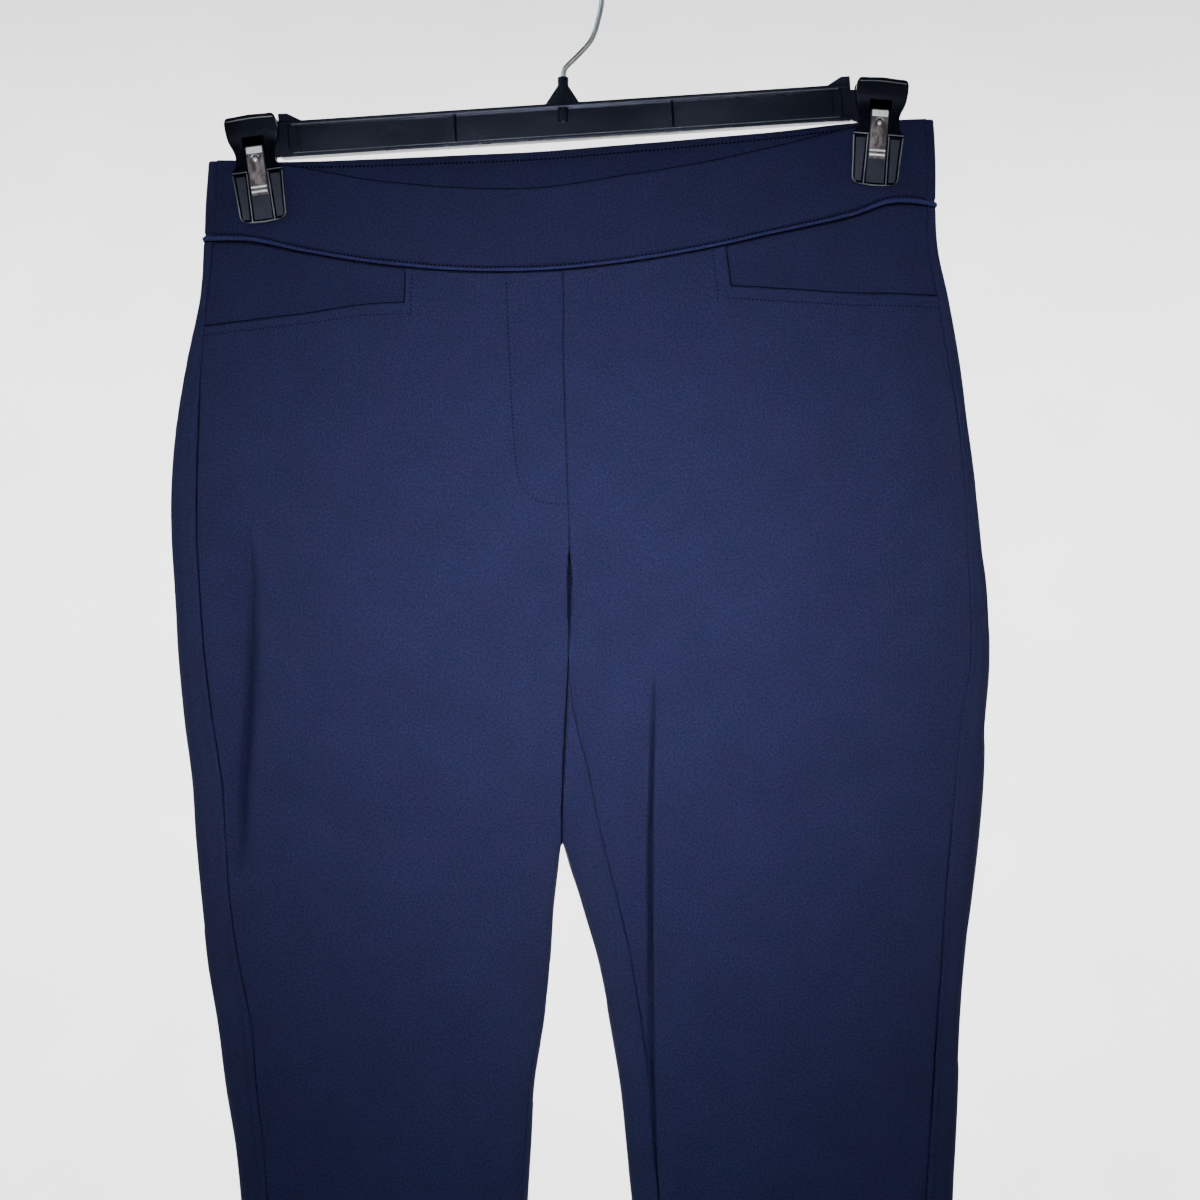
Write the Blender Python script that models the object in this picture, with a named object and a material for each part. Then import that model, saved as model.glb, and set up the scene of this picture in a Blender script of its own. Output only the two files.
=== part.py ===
"""Leggings hanging by their waistband from a clip hanger, in Blender.

The frame is in metres with +Z up and +X to the right, seen from the front of the garment, which faces -Y.
Left and right are meant as seen from there. The origin is the inner top of the hook, where a rail carries
the hanger. Tables and named sizes are in millimetres.
"""

import math

import bmesh
import bpy
from mathutils import Matrix, Vector

MM = 0.001

# Cloth
LEG_WALL = 1.2
BAND_WALL = 1.8
SEAM_GAP = 0.3
FACING_SINK = 0.6  # how far the pocket facing lies behind the front panel

# The waist, between and beyond the clips
PINCH = 2.4  # half the thickness of the gripped waistband
BAND_SPAN = (-136.0, 141.5)  # where the waistband bows open between the clips
FRONT_BOW = 15.0
BACK_BOW = 9.0
BOW_POWER = 1.5

# The seat and the legs
LENS_POWER = 2.2  # 2 would be an ellipse; more is flatter in the middle
HIP_Z = -250.0
CLEFT_Z = -306.0  # where the centre seam starts to dive between the legs
CROTCH_Z = -361.0
HEM_Z = -1072.0
POCKET_SHARE = 0.433  # the pocket's upright edge, from the centre seam to the side

# Hanger
BAR_CENTRE = (1.9, 0.0, -84.0)
BAR_HALF = 148.6
BAR_HEIGHT = 18.6
BAR_DEPTH = 9.0
BAR_FLANGE = 2.0
BAR_WEB = 2.4
BAR_TILT = 3.78
BAR_RIBS = (-57.2, 55.8)
LUG_RISE = 4.2
LUG_WIDTH = 4.6
LUG_SLOPE = 8.0
SOCKET_X = 0.6
SOCKET_RADIUS = 2.85
SOCKET_TOP = -60.5
BORE_RADIUS = 1.7
WIRE_RADIUS = 1.4
WIRE_FOOT = -72.0
HOOK_RADIUS = 20.8
HOOK_END = 178.0

# Clips: one row for each, at the middle of its lower edge, leaning with the cloth's pull
CLIPS = {
    "left": {"foot": (-154.1, 0.0, -136.6), "lean": -7.9},
    "right": {"foot": (161.8, 0.0, -117.8), "lean": 4.7},
}
JAW_WALL = 2.5
JAW_FACE = PINCH + SEAM_GAP  # inner face of a jaw, from the clip's middle plane
JAW_SPLAY_Z = 43.0
JAW_SPLAY = 14.0
PEG_Z = 42.5
PEG_RADIUS = 1.9
PEG_REACH = 6.6
STRAP_HALF = 4.5
STRAP_WALL = 0.6
STRAP_FOOT = 14.0
STRAP_TOP = 39.4

# Across the waist: the height of each line at X. Both rims meet at the sides.
WAIST_COLUMNS = ("x", "front_rim", "back_rim", "seam", "pocket")
WAIST_LINES = (
    (-188, -104.3, -104.3, -146.3, -191),
    (-162, -104.9, -104.2, -146.3, -188),
    (-136, -108, -104.1, -151.3, -185),
    (-99, -115.3, -102.3, -158, -180),
    (-53, -120.4, -99.4, -163, -179.5),
    (-11, -121, -97, -163.4, -182.5),
    (30, -115, -93.8, -159.4, -179.5),
    (72, -107.3, -90.9, -151.9, -171.5),
    (113, -97.2, -88, -142, -172),
    (150, -87.4, -84.1, -133.3, -174),
    (173, -83.7, -82.5, -126.3, -174),
    (198, -82.6, -82.6, -129, -175),
)

# Down the garment: the outer edges, how far in front of them the side seams lie, the edges between the
# legs, how far in front of those the inseams lie, and the depth from the middle plane to each face.
BODY_COLUMNS = (
    "z", "left_outer", "left_seam", "left_inner", "left_inseam",
    "right_inner", "right_inseam", "right_outer", "right_seam", "front", "back",
)
BODY_SECTIONS = (
    (-80, -184, 5, 0, 0, 0, 0, 193, 4, 16, 16),
    (-106, -184, 5, 0, 0, 0, 0, 194, 4, 16, 16),
    (-146, -186, 5, 0, 0, 0, 0, 195, 5, 17, 18),
    (-176, -188, 4, 1, 0, 1, 0, 201, 6, 18, 20),
    (-208, -195, 8, 1, 0, 1, 0, 206.6, 6, 19, 22),
    (-239, -200, 12, 2, 0, 2, 0, 210.6, 5, 20, 24),
    (-270, -203, 14, 3, 0, 3, 0, 214.8, 6, 20, 25),
    (-301, -203, 14, 4, 0, 4, 0, 218.2, 8, 20, 25),
    (-332, -201, 14, 4, 0, 4, 0, 221.8, 10, 19, 23),
    (-364, -199.4, 15, 3, 0, 4, 0, 222.7, 11, 18, 21),
    (-395, -196.5, 16, 1, 0, 3, 5, 220.6, 14, 17, 19),
    (-426, -192.6, 17, 0, 0, 1, 14, 219.6, 16, 17, 18),
    (-457, -190.6, 17, -1, 0, 1, 20, 217, 16, 16, 17),
    (-488, -187.8, 17, -3.9, 0, 10, 19, 213.3, 15, 16, 17),
    (-520, -184.5, 18, -5.8, 0, 19, 17, 209.7, 13, 16, 16),
    (-551, -179.5, 19, -8.8, 2, 25, 16, 207.5, 13, 15, 16),
    (-582, -175.4, 18, -13.5, 3, 30, 15, 206.5, 14, 15, 15),
    (-613, -170.3, 16, -15.2, 4, 33, 14, 205.3, 15, 15, 15),
    (-644, -167, 15, -17.4, 4, 36, 14, 203.5, 15, 14, 15),
    (-720, -161, 13, -20.5, 4, 43, 12, 200.5, 13, 14, 14),
    (-820, -156, 10, -23.5, 3, 51, 9, 195.5, 10, 13, 13),
    (-940, -153, 7, -25.5, 2, 58, 5, 190.5, 7, 12, 12),
    (-1072, -151, 5, -26.5, 1, 62, 2, 187.5, 5, 11, 11),
)

# Rows of the faceted cloth. A level is 0 at the rim, 1 at the waistband's seam, 2 at the pocket line and
# 3 at the hip line, and each further 100 mm down adds 1.
BAND_LEVELS = (0, 0.34, 0.67, 1)
YOKE_LEVELS = (1, 1.5, 2)
LEG_HEIGHTS = (
    -280, -306, -320, -334, -348, -361, -378, -400, -428, -457,
    -490, -530, -585, -644, -720, -820, -940, HEM_Z,
)

# Half outline of a jaw: height above its lower edge, half width
JAW_OUTLINE = (
    (0.0, 5.0), (0.6, 9.0), (2.4, 12.0), (14.0, 12.5), (26.0, 13.2), (28.0, 12.7), (31.0, 10.5),
    (36.0, 10.2), (40.0, 11.6), (43.0, 12.7), (49.0, 13.5), (53.0, 13.4), (54.6, 12.2), (55.0, 10.0),
)
JAW_TOP_SAG = 0.4

# The hook's neck: points on the wire's centreline, X and Z
NECK_POINTS = (
    (0.7, WIRE_FOOT), (0.7, -66.0), (0.8, -60.5), (1.3, -56.8), (3.2, -54.3),
    (8.8, -48.8), (14.1, -43.0), (17.0, -37.4), (19.0, -30.4), (20.4, -24.0),
)


def clear_scene():
    for item in list(bpy.data.objects):
        bpy.data.objects.remove(item, do_unlink=True)


def make_material(name, colour, roughness, metallic=0.0):
    material = bpy.data.materials.new(name)
    material.use_nodes = True
    shader = material.node_tree.nodes["Principled BSDF"]
    shader.inputs["Base Color"].default_value = (*colour, 1.0)
    shader.inputs["Roughness"].default_value = roughness
    shader.inputs["Metallic"].default_value = metallic
    material.diffuse_color = (*colour, 1.0)
    return material


def add_object(name, mesh, material, smooth_angle=None):
    piece = bpy.data.objects.new(name, mesh)
    bpy.context.scene.collection.objects.link(piece)
    mesh.materials.clear()
    mesh.materials.append(material)
    if smooth_angle:
        mesh.shade_smooth()
        mesh.set_sharp_from_angle(angle=math.radians(smooth_angle))
    return piece


def finish_mesh(name, body):
    """Point the faces out, and turn the bmesh, in millimetres, into a mesh in metres."""
    bmesh.ops.delete(body, geom=[v for v in body.verts if not v.link_faces], context="VERTS")
    bmesh.ops.recalc_face_normals(body, faces=body.faces)
    bmesh.ops.scale(body, vec=(MM, MM, MM), verts=body.verts)
    mesh = bpy.data.meshes.new(name)
    body.to_mesh(mesh)
    body.free()
    return mesh


def ease(share):
    share = min(max(share, 0.0), 1.0)
    return share * share * (3.0 - 2.0 * share)


def read_curve(table, columns, column, at):
    """A smooth curve through one column of a table, read at a value of its first column."""
    rows = sorted(table)
    at = min(max(at, rows[0][0]), rows[-1][0])
    k = max(i for i in range(len(rows) - 1) if rows[i][0] <= at)
    c = columns.index(column)

    def slope(i):
        low, high = max(i - 1, 0), min(i + 1, len(rows) - 1)
        return (rows[high][c] - rows[low][c]) / (rows[high][0] - rows[low][0])

    span = rows[k + 1][0] - rows[k][0]
    t = (at - rows[k][0]) / span
    start = (2 * t**3 - 3 * t**2 + 1) * rows[k][c] + (t**3 - 2 * t**2 + t) * span * slope(k)
    end = (3 * t**2 - 2 * t**3) * rows[k + 1][c] + (t**3 - t**2) * span * slope(k + 1)
    return start + end


def waist_line(column, x):
    return read_curve(WAIST_LINES, WAIST_COLUMNS, column, x)


def body_size(column, z):
    return read_curve(BODY_SECTIONS, BODY_COLUMNS, column, z)


def height_at(x, level, front):
    """The height of a level of the cloth at X."""
    rim = waist_line("front_rim" if front else "back_rim", x)
    lines = (rim, waist_line("seam", x), waist_line("pocket", x), HIP_Z)
    if level >= 3:
        return HIP_Z - (level - 3) * 100.0
    k = int(level)
    return lines[k] + (lines[k + 1] - lines[k]) * (level - k)


def level_of(height):
    return 3 + (HIP_Z - height) / 100.0


def bow(x):
    """How far the waistband bows open between the clips, from 0 to 1."""
    middle = sum(BAND_SPAN) / 2
    t = (x - middle) / (BAND_SPAN[1] - middle)
    return max(0.0, 1 - t * t) ** BOW_POWER


def surface_point(side, level, turn):
    """A point of one half's outer surface.

    The turn runs from 0 at the inner edge, over the front to pi at the outer edge, and back over the rear
    to 2 pi. Above the crotch the inner edge is the centre seam.
    """
    front = math.sin(turn) >= 0
    u = (1 - math.cos(turn)) / 2
    z = HIP_Z if level < 3 else height_at(0, level, front)
    for _ in range(3):
        inner = body_size(side + "_inner", z) + (-SEAM_GAP if side == "left" else SEAM_GAP)
        outer = body_size(side + "_outer", z)
        x = inner + (outer - inner) * u
        z = height_at(x, level, front)
    joined = ease((z - CROTCH_Z) / (CLEFT_Z - CROTCH_Z))
    lens = math.sqrt(max(0.0, 1 - abs(2 * u - 1) ** LENS_POWER))
    half_lens = math.sqrt(max(0.0, 1 - u**LENS_POWER))
    hang = body_size("front" if front else "back", z) * (joined * half_lens + (1 - joined) * lens)
    to_edge = min(1.0, abs(outer - x) / PINCH)
    grip = PINCH * math.sqrt(1 - (1 - to_edge) ** 2) + (FRONT_BOW if front else BACK_BOW) * bow(x)
    gripped = 1 - ease((level - 1) / 2)
    y = gripped * grip + (1 - gripped) * hang
    return Vector((x, -y if front else y, z))


def turn_at(side, level, column):
    """The turn at which a seam, some way in front of an edge, lies."""
    z = height_at(surface_point(side, level, math.pi).x, level, True)
    width = abs(body_size(side + "_outer", z) - body_size(side + "_inner", z))
    share = body_size(side + "_" + column, z) / width
    u = share if column == "inseam" else 1 - share
    return math.acos(1 - 2 * min(max(u, 0.0), 1.0))


def gap_turn(side, level, turn):
    """Half a seam's gap, as a turn."""
    step = 0.002
    run = (surface_point(side, level, turn + step) - surface_point(side, level, turn)).length / step
    return min(0.01, SEAM_GAP / 2 / max(run, 1.0))


def front_turns(side, level):
    start = turn_at(side, level, "inseam")
    end = turn_at(side, level, "seam")
    start += gap_turn(side, level, start)
    end -= gap_turn(side, level, end)
    upright = math.acos(1 - 2 * POCKET_SHARE)
    inner = [start + (upright - start) * k / 5 for k in range(5)]
    return inner + [upright + (end - upright) * k / 5 for k in range(6)]


def back_turns(side, level):
    start = turn_at(side, level, "seam")
    end = 2 * math.pi + turn_at(side, level, "inseam")
    start += gap_turn(side, level, start)
    end -= gap_turn(side, level, end - 2 * math.pi)
    edge = [start + (math.pi - start) * k / 3 for k in range(3)]
    rear = [math.pi + math.pi / 2 * (k / 5) ** 1.4 for k in range(5)]
    return edge + rear + [1.5 * math.pi + (end - 1.5 * math.pi) * k / 7 for k in range(8)]


def wall_points(side, level, turns, wall, lift=0.0, drop=0.0):
    """Outer and inner points of a cloth wall along a row, moved out by lift and down by drop."""
    row = []
    inward = -1 if side == "left" else 1
    for turn in turns:
        before = surface_point(side, level, max(turn - 0.03, turns[0]))
        after = surface_point(side, level, min(turn + 0.03, turns[-1]))
        along = Vector((after.x - before.x, after.y - before.y, 0)).normalized()
        normal = Vector((-along.y, along.x, 0)) * inward
        place = surface_point(side, level, turn) - normal * lift - Vector((0, 0, drop))
        row.append((place, place + normal * wall))
    return row


def cloth_panel(name, rows, material, left_out=()):
    """A closed wall from rows of outer and inner points, without the cells that are left out."""
    body = bmesh.new()
    outer = [[body.verts.new(pair[0]) for pair in row] for row in rows]
    inner = [[body.verts.new(pair[1]) for pair in row] for row in rows]
    cells = {(i, j) for i in range(len(rows) - 1) for j in range(len(rows[0]) - 1)} - set(left_out)
    for i, j in sorted(cells):
        corners = [(i, j), (i, j + 1), (i + 1, j + 1), (i + 1, j)]
        body.faces.new([outer[a][b] for a, b in corners])
        body.faces.new([inner[a][b] for a, b in reversed(corners)])
        beside = [(i - 1, j), (i, j + 1), (i + 1, j), (i, j - 1)]
        for k, cell in enumerate(beside):
            if cell not in cells:
                (a, b), (c, d) = corners[k], corners[(k + 1) % 4]
                body.faces.new([outer[a][b], inner[a][b], inner[c][d], outer[c][d]])
    return add_object(name, finish_mesh(name, body), material, 40)


def waistband(name, turns_of, front, material):
    """One half of the waistband, from side seam to side seam."""
    rows = []
    for level in BAND_LEVELS:
        drop = -SEAM_GAP / 2 if level == 1 else 0.0
        halves = {}
        for side in ("left", "right"):
            turns = turns_of(side, level)
            halves[side] = wall_points(side, level, turns, BAND_WALL, drop=drop)
        if front:
            rows.append(halves["left"][:0:-1] + halves["right"])
        else:
            rows.append(halves["left"] + halves["right"][-2::-1])
    return cloth_panel(name, rows, material)


def leg_levels():
    return YOKE_LEVELS + (2.5, 3) + tuple(level_of(z) for z in LEG_HEIGHTS)


def leg_panel(name, side, turns_of, material, left_out=()):
    rows = []
    for level in leg_levels():
        drop = SEAM_GAP / 2 if level == 1 else 0.0
        rows.append(wall_points(side, level, turns_of(side, level), LEG_WALL, drop=drop))
    return cloth_panel(name, rows, material, left_out)


def pocket_facing(name, side, material):
    """The piece in the pocket's opening, sunk behind the front panel and clear of its edges."""
    clear = SEAM_GAP / 60.0
    rows = []
    for level in (1, 1.5, 1.985):
        turns = front_turns(side, level)[5:]
        turns[0] += clear
        drop = SEAM_GAP / 2 if level == 1 else 0.0
        rows.append(wall_points(side, level, turns, LEG_WALL, lift=-FACING_SINK, drop=drop))
    return cloth_panel(name, rows, material)


def prism(points, low, high, across="Y"):
    """A bmesh prism on a polygon: X and Z points run through Y, or Y and Z points through X."""
    body = bmesh.new()
    place = {
        "Y": lambda a, b, depth: (a, depth, b),
        "X": lambda a, b, depth: (depth, a, b),
    }[across]
    base = body.faces.new([body.verts.new(place(a, b, low)) for a, b in points])
    moved = bmesh.ops.extrude_face_region(body, geom=[base])["geom"]
    shift = Vector(place(0, 0, high - low))
    bmesh.ops.translate(body, vec=shift, verts=[g for g in moved if isinstance(g, bmesh.types.BMVert)])
    return body


def block(x, y, z):
    return prism([(x[0], z[0]), (x[1], z[0]), (x[1], z[1]), (x[0], z[1])], y[0], y[1])


def rod(start, end, radius, sides=16):
    """A bmesh cylinder between two points."""
    body = bmesh.new()
    start, end = Vector(start), Vector(end)
    along = end - start
    turn = along.to_track_quat("Z", "Y").to_matrix().to_4x4()
    bmesh.ops.create_cone(
        body, cap_ends=True, segments=sides, radius1=radius, radius2=radius, depth=along.length,
        matrix=Matrix.Translation((start + end) / 2) @ turn,
    )
    return body


def join_solids(name, shapes, cuts, material, place=None, smooth_angle=30):
    """Union of the shapes less the cuts, made with Boolean modifiers and then placed."""
    solids = []
    for k, shape in enumerate(list(shapes) + list(cuts)):
        solids.append(add_object(f"{name}_{k}", finish_mesh(f"{name}_{k}", shape), material))
    base = solids[0]
    for k, tool in enumerate(solids[1:], start=1):
        change = base.modifiers.new(f"step_{k}", "BOOLEAN")
        change.operation = "UNION" if k < len(shapes) else "DIFFERENCE"
        change.object = tool
    reader = bpy.context.evaluated_depsgraph_get()
    mesh = bpy.data.meshes.new_from_object(base.evaluated_get(reader))
    mesh.name = name
    for solid in solids:
        bpy.data.objects.remove(solid, do_unlink=True)
    if place:
        mesh.transform(place)
    return add_object(name, mesh, material, smooth_angle)


def clip_place(side):
    foot = Vector(CLIPS[side]["foot"]) * MM
    return Matrix.Translation(foot) @ Matrix.Rotation(math.radians(CLIPS[side]["lean"]), 4, "Y")


def jaw(name, side, facing, material):
    """One jaw of a clip: a plate with a waist, grip ribs and a splayed head. Facing -1 is the front."""
    right = [(half, z) for z, half in JAW_OUTLINE]
    outline = right + [(0, 55.0 + JAW_TOP_SAG)] + [(-x, z) for x, z in reversed(right)] + [(0, -0.4)]
    outer = JAW_FACE + JAW_WALL
    plate = prism(outline, JAW_FACE, outer)
    shapes = [plate]
    for x in (-6.6, 6.6):
        shapes.append(block((x - 0.5, x + 0.5), (outer - 0.5, outer + 0.7), (3.0, 27.0)))
    shapes.append(block((-6.4, 6.4), (outer - 0.5, outer + 0.7), (2.5, 3.6)))
    for x in (-7.6, 7.6):
        shapes.append(block((x - 1.2, x + 1.2), (SEAM_GAP / 2, JAW_FACE + 0.5), (36.4, 38.6)))
    slot = block((-STRAP_HALF - 0.5, STRAP_HALF + 0.5), (JAW_FACE - 1, outer + 1), (38.6, 41.4))
    for shape in shapes:
        parts = shape.verts[:] + shape.edges[:] + shape.faces[:]
        bmesh.ops.bisect_plane(shape, geom=parts, plane_co=(0, 0, JAW_SPLAY_Z), plane_no=(0, 0, 1))
        for vert in shape.verts:
            vert.co.y += max(0.0, vert.co.z - JAW_SPLAY_Z) * math.tan(math.radians(JAW_SPLAY))
    for shape in shapes + [slot]:
        bmesh.ops.scale(shape, vec=(1, facing, 1), verts=shape.verts)
    return join_solids(name, shapes, [slot], material, clip_place(side))


def strap(name, side, material):
    """The clip's spring: a steel strip over both jaws, through their slots."""
    reach = JAW_FACE + JAW_WALL + SEAM_GAP
    corner = 1.0
    half = [(reach, STRAP_FOOT), (reach, STRAP_TOP - corner), (reach - corner, STRAP_TOP)]
    wide = reach + STRAP_WALL
    top = STRAP_TOP + STRAP_WALL
    outside = [(wide, STRAP_FOOT), (wide, top - corner - 0.2), (wide - corner - 0.2, top)]
    outline = [(-y, z) for y, z in half] + [(y, z) for y, z in reversed(half)]
    outline += outside + [(-y, z) for y, z in reversed(outside)]
    body = prism(outline, -STRAP_HALF, STRAP_HALF, across="X")
    return join_solids(name, [body], [], material, clip_place(side))


def bar_point(along, up=0.0):
    tilt = math.radians(BAR_TILT)
    x = BAR_CENTRE[0] + along * math.cos(tilt) - up * math.sin(tilt)
    return x, BAR_CENTRE[2] + along * math.sin(tilt) + up * math.cos(tilt)


def hanger_bar(material):
    """The bar: two flanges and a web, ribs, raised end lugs with pegs for the clips, and the hook's socket."""
    half, flange, depth, web = BAR_HEIGHT / 2, BAR_FLANGE, BAR_DEPTH / 2, BAR_WEB / 2

    def span(low, high, down, up, thick):
        corners = [bar_point(low, down), bar_point(high, down), bar_point(high, up), bar_point(low, up)]
        return prism(corners, -thick, thick)

    shapes = [span(-BAR_HALF + 1, BAR_HALF - 1, -half + 0.7, half - 0.7, web)]
    shapes.append(span(-BAR_HALF + 0.5, BAR_HALF - 0.5, half - flange, half, depth))
    shapes.append(span(-BAR_HALF + 0.5, BAR_HALF - 0.5, -half, -half + flange, depth))
    for x in BAR_RIBS:
        shapes.append(span(x - 0.6, x + 0.6, -half + 1.2, half - 1.2, depth - 0.6))
    for way in (-1, 1):
        tip, root, foot = (way * (BAR_HALF - back) for back in (0, LUG_WIDTH, LUG_WIDTH + LUG_SLOPE))
        low, high = -half + 0.4, half + LUG_RISE
        lug = [bar_point(tip, low), bar_point(tip, high), bar_point(root, high)]
        lug += [bar_point(foot, half - 0.3), bar_point(root, half - 1.3), bar_point(root, low)]
        shapes.append(prism(lug, -depth + 0.5, depth - 0.5))
    for side in CLIPS:
        way = -1 if side == "left" else 1
        peg = clip_place(side) @ Vector((0, 0, PEG_Z * MM)) / MM
        start = (bar_point(way * (BAR_HALF - 1))[0], 0, peg.z)
        shapes.append(rod(start, (peg.x - way * PEG_REACH, 0, peg.z), PEG_RADIUS))
    foot_z = bar_point(SOCKET_X - BAR_CENTRE[0])[1]
    shapes.append(rod((SOCKET_X, 0, foot_z), (SOCKET_X, 0, SOCKET_TOP), SOCKET_RADIUS))
    gusset = [(SOCKET_X - 10.0, foot_z + 8.0), (SOCKET_X + 10.0, foot_z + 8.0)]
    gusset += [(SOCKET_X + 2.2, SOCKET_TOP - 5.0), (SOCKET_X - 2.2, SOCKET_TOP - 5.0)]
    shapes.append(prism(gusset, -1.0, 1.0))
    bore = rod((SOCKET_X, 0, WIRE_FOOT - SEAM_GAP), (SOCKET_X, 0, SOCKET_TOP + 1), BORE_RADIUS)
    return join_solids("hanger_bar", shapes, [bore], material)


def hanger_hook(material):
    """The hook's wire: a neck that steps to one side, and a round crook."""
    route = [Vector((x, 0, z)) for x, z in NECK_POINTS]
    middle = Vector((0, 0, WIRE_RADIUS - HOOK_RADIUS))
    for k in range(22):
        turn = math.radians(HOOK_END * k / 21)
        route.append(middle + Vector((math.cos(turn), 0, math.sin(turn))) * HOOK_RADIUS)
    smooth = []
    for k in range(len(route) - 1):
        before, after = route[max(k - 1, 0)], route[min(k + 2, len(route) - 1)]
        for t in (0.0, 0.5):
            if t and k >= len(NECK_POINTS):
                continue
            a, b = route[k], route[k + 1]
            ease_in, ease_out = (b - before) / 2, (after - a) / 2
            start = a * (2 * t**3 - 3 * t**2 + 1) + ease_in * (t**3 - 2 * t**2 + t)
            end = b * (3 * t**2 - 2 * t**3) + ease_out * (t**3 - t**2)
            smooth.append(start + end)
    smooth.append(route[-1])
    curve = bpy.data.curves.new("hanger_hook", "CURVE")
    curve.dimensions = "3D"
    curve.bevel_depth = WIRE_RADIUS * MM
    curve.bevel_resolution = 2
    curve.use_fill_caps = True
    line = curve.splines.new("POLY")
    line.points.add(len(smooth) - 1)
    for point, place in zip(line.points, smooth):
        point.co = (*(place * MM), 1.0)
    piece = bpy.data.objects.new("hanger_hook", curve)
    bpy.context.scene.collection.objects.link(piece)
    curve.materials.append(material)
    return piece


def build():
    clear_scene()
    cloth = make_material("navy_knit", (0.024, 0.034, 0.096), 0.85)
    band_cloth = make_material("navy_waistband", (0.019, 0.026, 0.078), 0.85)
    plastic = make_material("dark_plastic", (0.012, 0.015, 0.024), 0.35)
    wire = make_material("bright_wire", (0.62, 0.62, 0.63), 0.2, 1.0)
    spring = make_material("spring_steel", (0.55, 0.55, 0.56), 0.3, 1.0)

    waistband("waistband_front", front_turns, True, band_cloth)
    waistband("waistband_back", back_turns, False, band_cloth)
    pocket = [(i, j) for i in range(len(YOKE_LEVELS) - 1) for j in range(5, 10)]
    for side in ("left", "right"):
        leg_panel("front_leg_" + side, side, front_turns, cloth, pocket)
        leg_panel("back_leg_" + side, side, back_turns, cloth)
        pocket_facing("pocket_facing_" + side, side, cloth)
        jaw("clip_front_jaw_" + side, side, -1, plastic)
        jaw("clip_back_jaw_" + side, side, 1, plastic)
        strap("clip_spring_" + side, side, spring)
    hanger_bar(plastic)
    hanger_hook(wire)


build()
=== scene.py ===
import math

import bmesh
import bpy
import numpy as np
from mathutils import Matrix, Vector


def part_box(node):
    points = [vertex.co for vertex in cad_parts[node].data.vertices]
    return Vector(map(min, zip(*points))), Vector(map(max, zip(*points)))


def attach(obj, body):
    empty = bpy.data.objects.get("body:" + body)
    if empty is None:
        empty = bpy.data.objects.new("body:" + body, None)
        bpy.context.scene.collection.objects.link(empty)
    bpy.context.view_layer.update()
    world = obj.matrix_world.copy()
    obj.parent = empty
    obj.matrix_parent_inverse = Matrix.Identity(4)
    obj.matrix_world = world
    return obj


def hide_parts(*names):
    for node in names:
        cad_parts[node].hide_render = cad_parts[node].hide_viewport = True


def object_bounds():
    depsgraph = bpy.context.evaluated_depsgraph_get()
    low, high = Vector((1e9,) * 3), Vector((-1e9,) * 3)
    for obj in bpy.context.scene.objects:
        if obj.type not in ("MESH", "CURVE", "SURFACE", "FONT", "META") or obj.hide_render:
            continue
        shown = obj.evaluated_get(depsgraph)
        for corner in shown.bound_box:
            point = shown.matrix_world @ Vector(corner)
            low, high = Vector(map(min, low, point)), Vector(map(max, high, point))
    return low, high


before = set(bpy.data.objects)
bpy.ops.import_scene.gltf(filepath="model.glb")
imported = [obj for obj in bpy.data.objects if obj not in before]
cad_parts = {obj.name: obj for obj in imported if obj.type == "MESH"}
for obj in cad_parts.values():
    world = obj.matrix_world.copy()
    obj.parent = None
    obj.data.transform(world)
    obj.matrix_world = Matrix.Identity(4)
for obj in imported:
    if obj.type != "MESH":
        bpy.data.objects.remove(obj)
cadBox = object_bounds()
mm = 0.001
print("frame loaded:", len(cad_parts), "nodes")

# The cloth's form, in millimetres: it hangs in front of and behind the plane y = 0.
# Left and right are as seen from the front.
form = {
    "pinch": 2.4,  # half the thickness that the clips grip
    "bandSpan": (-136.0, 141.5),  # where the waistband bows open
    "frontBow": 15.0,
    "backBow": 9.0,
    "bowPower": 1.5,
    "lensPower": 2.2,  # 2 is an ellipse, more is flatter in the middle
    "hipZ": -250.0,
    "cleftZ": -306.0,
    "crotchZ": -361.0,
    "hemZ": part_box("front_leg_left")[0].z / mm,
    "pocketShare": 0.433,  # the pocket's upright edge, from the centre to the side
    "yokeHeight": 38.0,  # about the height from the waistband's seam to the pocket line
    "hipHeight": 66.0,  # and from the pocket line to the hip
    "levelHeight": 100.0,  # of each level below the hip
}

# the height of each line across the waist
waistColumns = ("x", "frontRim", "backRim", "seam", "pocket")
waistLines = np.array((
    (-188, -104.3, -104.3, -146.3, -191),
    (-162, -104.9, -104.2, -146.3, -188),
    (-136, -108, -104.1, -151.3, -185),
    (-99, -115.3, -102.3, -158, -180),
    (-53, -120.4, -99.4, -163, -179.5),
    (-11, -121, -97, -163.4, -182.5),
    (30, -115, -93.8, -159.4, -179.5),
    (72, -107.3, -90.9, -151.9, -171.5),
    (113, -97.2, -88, -142, -172),
    (150, -87.4, -84.1, -133.3, -174),
    (173, -83.7, -82.5, -126.3, -174),
    (198, -82.6, -82.6, -129, -175),
), float)

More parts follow.
